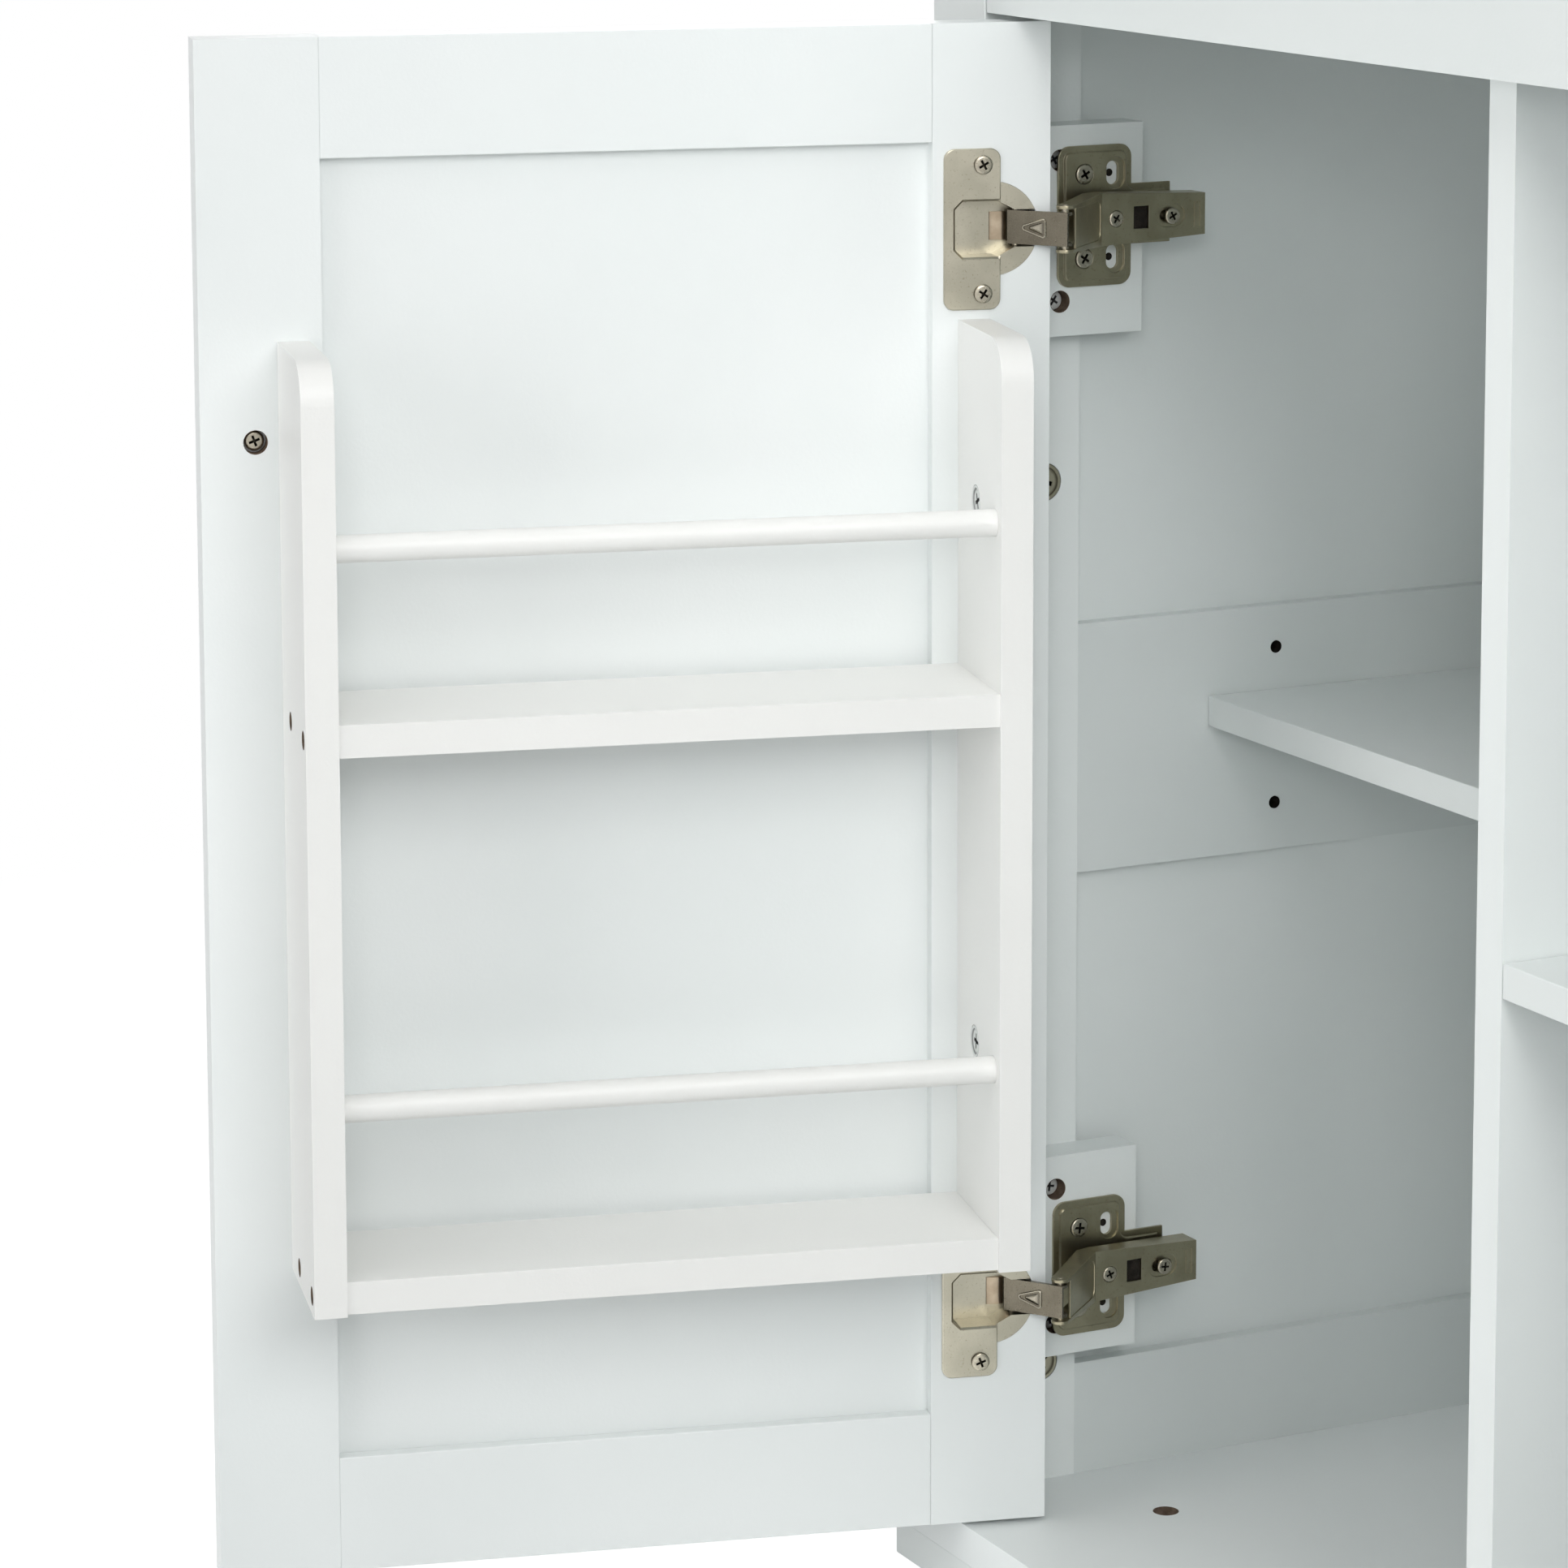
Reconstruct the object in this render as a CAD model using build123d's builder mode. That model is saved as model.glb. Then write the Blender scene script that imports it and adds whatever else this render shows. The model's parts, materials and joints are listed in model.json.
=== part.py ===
"""Storage cabinet with one framed door, a door rack, an open bay and one wide drawer.

Row frame: millimetres, +Z up, front towards -Y. The origin is the centre of the base on the floor.
The door is modelled in its fully open position and the drawer closed.
"""
from build123d import *
from math import cos, radians, sin, sqrt, atan2, degrees
import os

os.makedirs("parts", exist_ok=True)

# ---------------------------------------------------------------- driving dimensions
# base
width = 710.0               # over the corner posts
base_depth = 400.0
edging_height = 14.5        # frame of strips under the bottom board
edging_width = 40.0
bottom_board_thickness = 15.0
foot_hole_diameter = 10.0
foot_hole_inset = 77.0      # from the ends and from the front and rear edges

# corner posts and side frames
front_lip = 16.0            # bottom board in front of the posts
post_width = 40.0
post_thickness = 18.0
post_proud = 7.0            # post outside the side frame
side_thickness = 18.0
side_stile_width = 32.0
side_bottom_rail = 45.0
side_middle_rail_height = 98.0
side_middle_rail_rise = 242.5   # its lower edge above the bottom board
side_panel_thickness = 6.0
side_panel_recess = 6.0
panel_tongue = 5.0          # how far a panel enters its grooves

# openings
opening_height = 579.0      # bottom board to drawer front
drawer_front_height = 140.0
front_gap = 2.0             # reveal above and below door and drawer front
divider_thickness = 15.0
deck_thickness = 12.0
deck_rise = 2.0             # deck underside above the drawer front's lower edge
back_panel_thickness = 6.0
top_board_thickness = 20.0
top_side_overhang = 15.0
top_front_overhang = 20.0   # in front of the posts

# shelves
shelf_thickness = 12.0
left_shelf_rise = 295.0     # shelf underside above the bottom board
left_shelf_setback = 108.4  # shelf front behind the posts' front
right_shelf_rise = 276.0
pin_diameter = 5.0
pin_length = 14.5
pin_engagement = 7.0        # in the wall or in the divider
pin_hole_depth = 7.4
pin_pitch = 31.2
pin_inset = 31.0            # pin behind the shelf's front edge and in front of its rear edge
right_pin_inset = 48.0
shelf_end_gap = 0.5

# door
door_thickness = 15.0
door_stile_width = 45.0
door_rail_width = 44.0
door_panel_thickness = 5.0
door_panel_recess = 6.0     # below the door's inner face
hinge_side_gap = 3.0        # closed door to post
free_side_gap = 2.0         # closed door short of the divider's right face
divider_setback = 16.0      # divider front behind the posts' front
open_angle = 104.0
open_corner_right = 41.0    # open door's inner hinge-side corner, right of the side frame's inner face
open_corner_back = 13.5     # the same corner behind the posts' front

# hinges
hinge_low = 90.0            # hinge centre above the bottom board
hinge_top_drop = 78.5       # upper hinge centre below the opening's top
block_thickness = 15.0
block_depth = 50.0
block_height = 80.0
block_gap = 0.5             # block behind the post
block_shift = 5.3           # block centre nearer the cabinet's middle than the hinge
block_screw_inset = 14.2    # from the block's front edge
block_screw_spacing = 53.6
block_counterbore_diameter = 8.5
block_counterbore_depth = 7.0
block_screw_diameter = 4.0
block_screw_head = 7.4
block_screw_length = 18.0
wood_screw_head_height = 2.0
plate_thickness = 2.0
plate_height = 53.5
plate_depth = 31.7
plate_front = 13.1          # plate front edge behind the post
plate_corner = 5.0
plate_border = 2.4          # step round the plate's raised field
plate_border_thickness = 1.2
plate_field_chamfer = 0.5
plate_inner_corner = 4.0    # between the plate and its tongue
plate_screw_inset = 10.9    # screw line behind the plate's front edge
plate_screw_spacing = 32.0
plate_slot_offset = 12.4    # slots behind the screws
plate_slot_length = 9.0
plate_slot_width = 5.0
slot_dish_length = 12.4     # pressed dish round each slot
slot_dish_width = 8.0
slot_dish_shift = 1.0       # dish behind the slot
slot_dish_depth = 0.7
plate_tongue_height = 23.0
plate_tongue_depth = 17.0
plate_rail_height = 12.0
plate_rail_rise = 7.5
plate_screw_diameter = 4.0
plate_screw_head = 7.4
plate_screw_head_rise = 1.6
plate_screw_length = 13.0
arm_sheet = 1.2
arm_rise = 15.0             # arm's face above the block at the crank
arm_rear_rise = 13.5
arm_length = 46.0           # from the crank to the rear end
arm_crank_back = 42.0       # crank behind the posts' front
arm_rear_height = 15.8
arm_crank_height = 20.0
arm_nose_height = 17.6
arm_flange_depth = 10.0
arm_pivot_right = 48.9      # arm pin, right of the side frame's inner face
arm_pivot_back = 15.5       # arm pin behind the posts' front
arm_ear_radius = 3.4
arm_nose_back = 4.5         # face's front end behind the arm pin
arm_nose_right = 0.6
arm_skirt = 8.0             # depth of the sloping part
arm_screw_diameter = 4.0
arm_screw_head = 6.2
adjust_screw_back = 6.5     # adjusting screw behind the crank
lock_screw_back = 30.5      # lock screw behind the crank
window_back = 17.5
window_size = 6.6
window_height = 8.6
lock_dish_length = 12.8     # pressed dish round the lock screw
lock_dish_width = 8.6
lock_dish_depth = 0.5
line_backs = (41.0, 43.4)   # two pressed lines behind the crank
line_width = 0.8
line_length = 9.6
line_depth = 0.4
nose_dish_start = 1.2       # shallow pressing of the sloping part, from the crank
nose_dish_height = 14.6
nose_dish_corner = 3.2
nose_dish_depth = 0.35
pin_radius = 1.25
pin_clearance = 0.06
link_sheet = 1.2
link_width = 12.6
link_face_offset = 2.8      # link face outside the line between its pins
link_waist = 1.6            # depth of its folded edges between the ears
link_ear_radius = 2.6
link_end = 2.1              # link face beyond the arm pin
drop_start = 3.8            # drop-shaped pressing in the link's face, from the cup pin
drop_length = 10.0
drop_width = 7.0
drop_corner = 1.2
drop_rim = 0.8
drop_rim_height = 0.35
drop_depth = 0.5
cup_diameter = 35.0
cup_depth = 11.5
cup_inset = 22.0            # cup centre from the door's hinge edge
cup_fit = 0.1
cup_pivot_depth = 6.0       # cup pin below the door's inner face
flange_width = 21.6
flange_height = 60.0
flange_offset = 8.0         # flange centre beyond the cup centre
flange_thickness = 1.2
flange_corner = 4.0
flange_chamfer = 0.4
cup_screw_offset = 4.0      # screws beyond the cup centre
cup_screw_spacing = 48.0
cup_screw_diameter = 3.5
cup_screw_head = 7.0
cup_screw_head_rise = 1.4
cup_screw_length = 12.0
pocket_height = 20.8
pocket_near = 20.0          # full-height part of the pocket, from the hinge edge
pocket_far = 36.5
pocket_chamfer = 3.0
pocket_depth = 10.3
pocket_roll = 0.8           # turned edge between the flange and the pocket
slot_height = 14.0
slot_near = 13.6            # narrow part of the pocket starts here

# cam locks of the side frames
cam_diameter = 15.0
cam_depth = 12.5
cam_inset = 16.6            # from the stile's front edge
cam_low = 47.8              # above the bottom board
cam_high = 397.0

# rack on the door
rack_side_thickness = 12.0
rack_near = 23.0            # rack's near side from the door's hinge edge
rack_far_margin = 28.5      # rack's far side to the door's free edge
rack_depth = 62.0
rack_gap_low = 0.5          # rack above the lower hinge's flange
rack_gap_high = 3.5         # rack below the upper hinge's flange
rack_corner = 15.0
rack_shelf_thickness = 12.0
rack_shelf_lift = 0.8       # lower shelf above the sides' lower ends
rack_shelf_setback = 1.0
rack_pitch = 204.2
rod_diameter = 10.0
rod_rise = 62.0             # rod centre above the shelf
rod_inset = 9.0             # rod centre behind the rack's front
rod_socket = 6.0
rod_fit = 0.1
rack_cam_diameter = 12.0
rack_cam_depth = 9.0
rack_cam_inset = 26.0       # from the door's inner face
rack_cam_rise = 77.5        # cam locks above each shelf's underside
rack_screw_diameter = 4.0
rack_screw_head = 6.6
rack_screw_length = 30.0
rack_counterbore = 4.0
rack_screw_back = 21.0
rack_screw_front = 55.0

# knobs
knob_inset = 20.1           # from the door's free edge
knob_rise = 430.5           # above the bottom board
knob_diameter = 30.0
knob_neck_diameter = 14.0
knob_height = 25.0          # from the wood to the knob's top
knob_neck_height = 12.0
knob_chamfer = 3.0
knob_bore_diameter = 9.0
knob_bore_depth = 6.0
knob_screw_diameter = 4.0
knob_screw_head = 7.2
knob_screw_head_rise = 2.2
knob_screw_engagement = 10.0
drawer_knob_spacing = 320.0

# drawer
drawer_side_gap = 1.5
drawer_front_thickness = 15.0
drawer_side_thickness = 12.0
drawer_side_height = 90.0
drawer_side_drop = 23.5     # drawer side's lower edge above the drawer front's
drawer_length = 300.0       # of the drawer's sides and its runners
drawer_bottom_thickness = 4.0
drawer_bottom_rise = 8.0
drawer_groove = 5.0
runner_thickness = 12.7
runner_height = 35.0
runner_sheet = 1.2
runner_rise = 56.5          # runner centre above the drawer front's lower edge
runner_depth = 9.5
inner_runner_height = 32.0
inner_runner_depth = 8.0
packer_height = 45.0
runner_start = 1.0          # runner behind the posts

# ---------------------------------------------------------------- places worked out from them
floor_top = edging_height + bottom_board_thickness
post_front = -base_depth / 2 + front_lip
post_back = post_front + post_thickness
post_outside = width / 2
post_inside = post_outside - post_width
wall = post_outside - post_proud - side_thickness      # inner face of each side frame, +-X
rear_post_front = base_depth / 2 - post_thickness
side_length = rear_post_front - post_back
drawer_low = floor_top + opening_height
top_under = drawer_low + drawer_front_height + front_gap
back_front = rear_post_front - back_panel_thickness
divider_front = post_front + divider_setback
deck_under = drawer_low + deck_rise
deck_front = post_back + front_gap / 2
middle_rail_low = floor_top + side_middle_rail_rise
middle_rail_top = middle_rail_low + side_middle_rail_height

door_low = floor_top + front_gap
door_height = opening_height - 2 * front_gap
door_left_closed = -post_inside + hinge_side_gap
door_width = divider_thickness / 2 - free_side_gap - door_left_closed

# the open door: "along" runs from its hinge edge to its free edge, "inward" is its inner face's normal
along = Vector(cos(radians(open_angle)), -sin(radians(open_angle)), 0)
inward = Vector(sin(radians(open_angle)), cos(radians(open_angle)), 0)
door_corner = Vector(-wall + open_corner_right, post_front + open_corner_back, 0)
door_plan = Plane(origin=door_corner, x_dir=along, z_dir=(0, 0, 1))

arm_pivot = Vector(-wall + arm_pivot_right, post_front + arm_pivot_back, 0)
hinge_heights = {"lower": floor_top + hinge_low, "upper": drawer_low - hinge_top_drop}
block_centres = {
    "lower": hinge_heights["lower"] + block_shift,
    "upper": hinge_heights["upper"] - block_shift,
}
block_face = -wall + block_thickness


def cup_pivot():
    """Cup pin's place from the hinge edge: as far from the arm pin when the door is shut as when open."""
    offset = arm_pivot - door_corner
    opened = (offset.dot(along), offset.dot(inward))
    shut = (arm_pivot.X - door_left_closed, arm_pivot.Y - (post_front + door_thickness))
    depth = -cup_pivot_depth
    rise = (shut[0] ** 2 + (shut[1] - depth) ** 2) - (opened[0] ** 2 + (opened[1] - depth) ** 2)
    return rise / (2 * (shut[0] - opened[0]))


cup_pin_inset = cup_pivot()
cup_pin = door_plan.from_local_coords(Vector(cup_pin_inset, -cup_pivot_depth, 0))
link_vector = arm_pivot - cup_pin
link_length = link_vector.length
link_plan = Plane(origin=cup_pin, x_dir=link_vector.normalized(), z_dir=(0, 0, 1))


def door_section(inset):
    """Upright plane across the door: x away from the inner face, y up, extruding towards the free edge."""
    return Plane(origin=door_plan.from_local_coords(Vector(inset, 0, 0)), x_dir=inward, z_dir=along)


def door_face(height=0.0):
    """Upright plane along the door: x from the hinge edge, y up, extruding into the door."""
    return Plane(origin=door_plan.from_local_coords(Vector(0, height, 0)), x_dir=along, z_dir=-inward)


def plan(place):
    """Plan coordinates of a place."""
    return (place.X, place.Y)


def side_plane(x, sign):
    """Upright plane at x whose sketch x is sign * Y and y is up; it extrudes towards sign * X."""
    return Plane(origin=(x, 0, 0), x_dir=(0, sign, 0), z_dir=(sign, 0, 0))


def link_face(z, height=0.0):
    """Link's outer face: x from the cup pin to the arm pin, y up, extruding outwards."""
    place = link_plan.from_local_coords(Vector(0, -link_face_offset - height, z))
    return Plane(origin=place, x_dir=link_plan.x_dir, z_dir=link_plan.y_dir * -1)


SIDES = (("left", -1), ("right", 1))

# ---------------------------------------------------------------- base
with BuildPart() as bottom_board:
    with BuildSketch(Plane.XY.offset(edging_height)):
        Rectangle(width, base_depth)
        with GridLocations(width - 2 * foot_hole_inset, base_depth - 2 * foot_hole_inset, 2, 2):
            Circle(foot_hole_diameter / 2, mode=Mode.SUBTRACT)
    extrude(amount=bottom_board_thickness)
bottom_board.part.label = "bottom_board"
export_step(bottom_board.part, "parts/bottom_board.step")

with BuildPart() as base_long_edges:
    with BuildSketch():
        with GridLocations(0, base_depth - edging_width, 1, 2):
            Rectangle(width, edging_width)
    extrude(amount=edging_height)
base_long_edges.part.label = "base_long_edges"
export_step(base_long_edges.part, "parts/base_long_edges.step")

with BuildPart() as base_cross_bearers:
    with BuildSketch():
        with GridLocations((width - edging_width) / 2, 0, 3, 1):
            Rectangle(edging_width, base_depth - 2 * edging_width)
    extrude(amount=edging_height)
base_cross_bearers.part.label = "base_cross_bearers"
export_step(base_cross_bearers.part, "parts/base_cross_bearers.step")

# ---------------------------------------------------------------- posts, side frames, back, divider, top
post_middle = post_outside - post_width / 2
for post_name, post_y in (("front_posts", post_front), ("rear_posts", rear_post_front)):
    with BuildPart() as posts:
        with BuildSketch(Plane.XY.offset(floor_top)):
            with Locations(*[(x, post_y + post_thickness / 2) for x in (-post_middle, post_middle)]):
                Rectangle(post_width, post_thickness)
        extrude(amount=top_under - floor_top)
    posts.part.label = post_name
    export_step(posts.part, f"parts/{post_name}.step")

stile_places = (post_back + side_stile_width / 2, rear_post_front - side_stile_width / 2)
rail_length = side_length - 2 * side_stile_width
rail_spans = (
    (floor_top, side_bottom_rail),
    (middle_rail_low, side_middle_rail_height),
    (drawer_low, top_under - drawer_low),
)
panel_spans = (
    (floor_top + side_bottom_rail, middle_rail_low),
    (middle_rail_top, drawer_low),
)
side_middle_y = (post_back + rear_post_front) / 2
groove_in = side_panel_recess
left_front_pin = post_front + left_shelf_setback + pin_inset
rear_pin = back_front - pin_inset
left_pin_height = floor_top + left_shelf_rise - pin_diameter / 2
right_pin_height = floor_top + right_shelf_rise - pin_diameter / 2
right_front_pin = divider_front + right_pin_inset
cam_heights = (floor_top + cam_low, floor_top + cam_high)
cam_places = (post_back + cam_inset, rear_post_front - cam_inset)
screw_rows = [
    (post_back + block_gap + block_screw_inset, centre + offset)
    for centre in block_centres.values()
    for offset in (-block_screw_spacing / 2, block_screw_spacing / 2)
]

for side, sign in SIDES:
    inner = side_plane(sign * wall, sign)
    with BuildPart() as stiles:
        with BuildSketch(inner):
            for y in stile_places:
                with Locations((sign * y, (floor_top + top_under) / 2)):
                    Rectangle(side_stile_width, top_under - floor_top)
        extrude(amount=side_thickness)
        with BuildSketch(inner.offset(groove_in)):
            for low, high in panel_spans:
                with Locations((sign * side_middle_y, (low + high) / 2)):
                    Rectangle(rail_length + 2 * panel_tongue, high - low)
        extrude(amount=side_panel_thickness, mode=Mode.SUBTRACT)
        with BuildSketch(inner):
            for y in cam_places:
                for z in cam_heights:
                    with Locations((sign * y, z)):
                        Circle(cam_diameter / 2)
        extrude(amount=cam_depth, mode=Mode.SUBTRACT)
        if side == "left":
            with BuildSketch(inner):
                with Locations(*[(sign * y, z) for y, z in screw_rows]):
                    Circle(block_screw_diameter / 2 + pin_clearance)
            extrude(amount=side_thickness / 2 + front_gap, mode=Mode.SUBTRACT)
    stiles.part.label = f"side_stiles_{side}"
    export_step(stiles.part, f"parts/side_stiles_{side}.step")

    with BuildPart() as rails:
        with BuildSketch(inner):
            for low, height in rail_spans:
                with Locations((sign * side_middle_y, low + height / 2)):
                    Rectangle(rail_length, height)
        extrude(amount=side_thickness)
        with BuildSketch(inner.offset(groove_in)):
            for low, high in panel_spans:
                with Locations((sign * side_middle_y, (low + high) / 2)):
                    Rectangle(rail_length, high - low + 2 * panel_tongue)
        extrude(amount=side_panel_thickness, mode=Mode.SUBTRACT)
        with BuildSketch(inner):
            if side == "left":
                for y in (left_front_pin, rear_pin):
                    for z in (left_pin_height - pin_pitch, left_pin_height, left_pin_height + pin_pitch):
                        with Locations((sign * y, z)):
                            Circle(pin_diameter / 2 + pin_clearance)
            else:
                for y in (right_front_pin, rear_pin):
                    with Locations((sign * y, right_pin_height)):
                        Circle(pin_diameter / 2 + pin_clearance)
        extrude(amount=pin_hole_depth, mode=Mode.SUBTRACT)
    rails.part.label = f"side_rails_{side}"
    export_step(rails.part, f"parts/side_rails_{side}.step")

    with BuildPart() as panels:
        with BuildSketch(inner.offset(groove_in)):
            for low, high in panel_spans:
                with Locations((sign * side_middle_y, (low + high) / 2)):
                    Rectangle(rail_length + 2 * panel_tongue, high - low)
                    Rectangle(rail_length, high - low + 2 * panel_tongue)
        extrude(amount=side_panel_thickness)
    panels.part.label = f"side_panels_{side}"
    export_step(panels.part, f"parts/side_panels_{side}.step")

with BuildPart() as side_cam_locks:
    for side, sign in SIDES:
        with BuildSketch(side_plane(sign * wall, sign)):
            for y in cam_places:
                for z in cam_heights:
                    with Locations((sign * y, z)):
                        Circle(cam_diameter / 2 - cup_fit)
        extrude(amount=cam_depth)
side_cam_locks.part.label = "side_cam_locks"
export_step(side_cam_locks.part, "parts/side_cam_locks.step")

with BuildPart() as back_panel:
    with BuildSketch(Plane.XY.offset(floor_top)):
        with Locations((0, back_front + back_panel_thickness / 2)):
            Rectangle(2 * wall, back_panel_thickness)
    extrude(amount=top_under - floor_top)
back_panel.part.label = "back_panel"
export_step(back_panel.part, "parts/back_panel.step")

divider_middle_y = (divider_front + back_front) / 2
with BuildPart() as divider:
    with BuildSketch(Plane.XY.offset(floor_top)):
        with Locations((0, divider_middle_y)):
            Rectangle(divider_thickness, back_front - divider_front)
    extrude(amount=deck_under - floor_top)
    with BuildSketch(side_plane(-divider_thickness / 2, 1)):
        for y in (left_front_pin, rear_pin):
            for z in (left_pin_height - pin_pitch, left_pin_height, left_pin_height + pin_pitch):
                with Locations((y, z)):
                    Circle(pin_diameter / 2 + pin_clearance)
    extrude(amount=pin_hole_depth, mode=Mode.SUBTRACT)
    with BuildSketch(side_plane(divider_thickness / 2, -1)):
        for y in (right_front_pin, rear_pin):
            with Locations((-y, right_pin_height)):
                Circle(pin_diameter / 2 + pin_clearance)
    extrude(amount=pin_hole_depth, mode=Mode.SUBTRACT)
divider.part.label = "divider"
export_step(divider.part, "parts/divider.step")

with BuildPart() as drawer_deck:
    with BuildSketch(Plane.XY.offset(deck_under)):
        with Locations((0, (deck_front + back_front) / 2)):
            Rectangle(2 * wall, back_front - deck_front)
    extrude(amount=deck_thickness)
drawer_deck.part.label = "drawer_deck"
export_step(drawer_deck.part, "parts/drawer_deck.step")

with BuildPart() as top_board:
    with BuildSketch(Plane.XY.offset(top_under)):
        with Locations((0, (post_front - top_front_overhang + base_depth / 2) / 2)):
            Rectangle(width + 2 * top_side_overhang, base_depth / 2 - post_front + top_front_overhang)
    extrude(amount=top_board_thickness)
    fillet(top_board.edges().filter_by(Axis.Z).group_by(Axis.Y)[0], radius=top_side_overhang)
    chamfer(top_board.faces().sort_by(Axis.Z)[-1].edges(), length=front_gap)
top_board.part.label = "top_board"
export_step(top_board.part, "parts/top_board.step")

# ---------------------------------------------------------------- shelves and their pins
left_shelf_front = post_front + left_shelf_setback
shelf_inner_end = divider_thickness / 2 + shelf_end_gap
shelf_specs = (
    ("left_shelf", -wall + shelf_end_gap, -shelf_inner_end, left_shelf_front, left_shelf_rise),
    ("right_shelf", shelf_inner_end, wall - shelf_end_gap, divider_front, right_shelf_rise),
)
for shelf_name, x0, x1, y0, rise in shelf_specs:
    with BuildPart() as shelf:
        with BuildSketch(Plane.XY.offset(floor_top + rise)):
            with Locations(((x0 + x1) / 2, (y0 + back_front - shelf_end_gap) / 2)):
                Rectangle(x1 - x0, back_front - shelf_end_gap - y0)
        extrude(amount=shelf_thickness)
        if shelf_name == "right_shelf":
            with BuildSketch(Plane.XY.offset(floor_top + rise)):
                with Locations((wall, post_back / 2 + divider_front / 2)):
                    Rectangle(
                        2 * (wall - post_inside + shelf_end_gap),
                        2 * shelf_end_gap + post_back - divider_front,
                    )
            extrude(amount=shelf_thickness, mode=Mode.SUBTRACT)
    shelf.part.label = shelf_name
    export_step(shelf.part, f"parts/{shelf_name}.step")

pin_reach = pin_length - pin_engagement
with BuildPart() as shelf_pins:
    for face_x, way, low, ys in (
        (-wall, -1, left_pin_height, (left_front_pin, rear_pin)),
        (-divider_thickness / 2, 1, left_pin_height, (left_front_pin, rear_pin)),
        (divider_thickness / 2, -1, right_pin_height, (right_front_pin, rear_pin)),
        (wall, 1, right_pin_height, (right_front_pin, rear_pin)),
    ):
        with BuildSketch(side_plane(face_x - way * pin_reach, way)):
            with Locations(*[(way * y, low) for y in ys]):
                Circle(pin_diameter / 2)
        extrude(amount=pin_length)
shelf_pins.part.label = "shelf_pins"
export_step(shelf_pins.part, "parts/shelf_pins.step")

# ---------------------------------------------------------------- hinge blocks, plates and arms
block_front = post_back + block_gap
crank = Vector(block_face + arm_rise, post_front + arm_crank_back, 0)
arm_rear = Vector(block_face + arm_rear_rise, crank.Y + arm_length, 0)
arm_nose = arm_pivot + Vector(arm_nose_right, arm_nose_back, 0)
slope = (arm_nose - crank).normalized()
slope_in = Vector(slope.Y, -slope.X, 0)
tail = (arm_rear - crank).normalized()
tail_out = Vector(tail.Y, -tail.X, 0)
skirt_point = crank + slope_in * arm_skirt
skirt_front = arm_pivot + slope_in * arm_ear_radius
crank_half_bend = radians(slope_in.get_angle(tail_out * -1) / 2)
inner_crank = crank + (slope_in - tail_out).normalized() * (arm_sheet / cos(crank_half_bend))


def block_plane(z):
    """Hinge block's face: x back from the post, y up about the hinge centre, extruding into the bay."""
    return Plane(origin=(block_face, post_back, z), x_dir=(0, 1, 0), z_dir=(1, 0, 0))


def arm_face(z):
    """Arm's straight face: x back from the crank, y up about the hinge centre, extruding outwards."""
    return Plane(origin=crank + Vector(0, 0, z), x_dir=tail, z_dir=tail_out)


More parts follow.
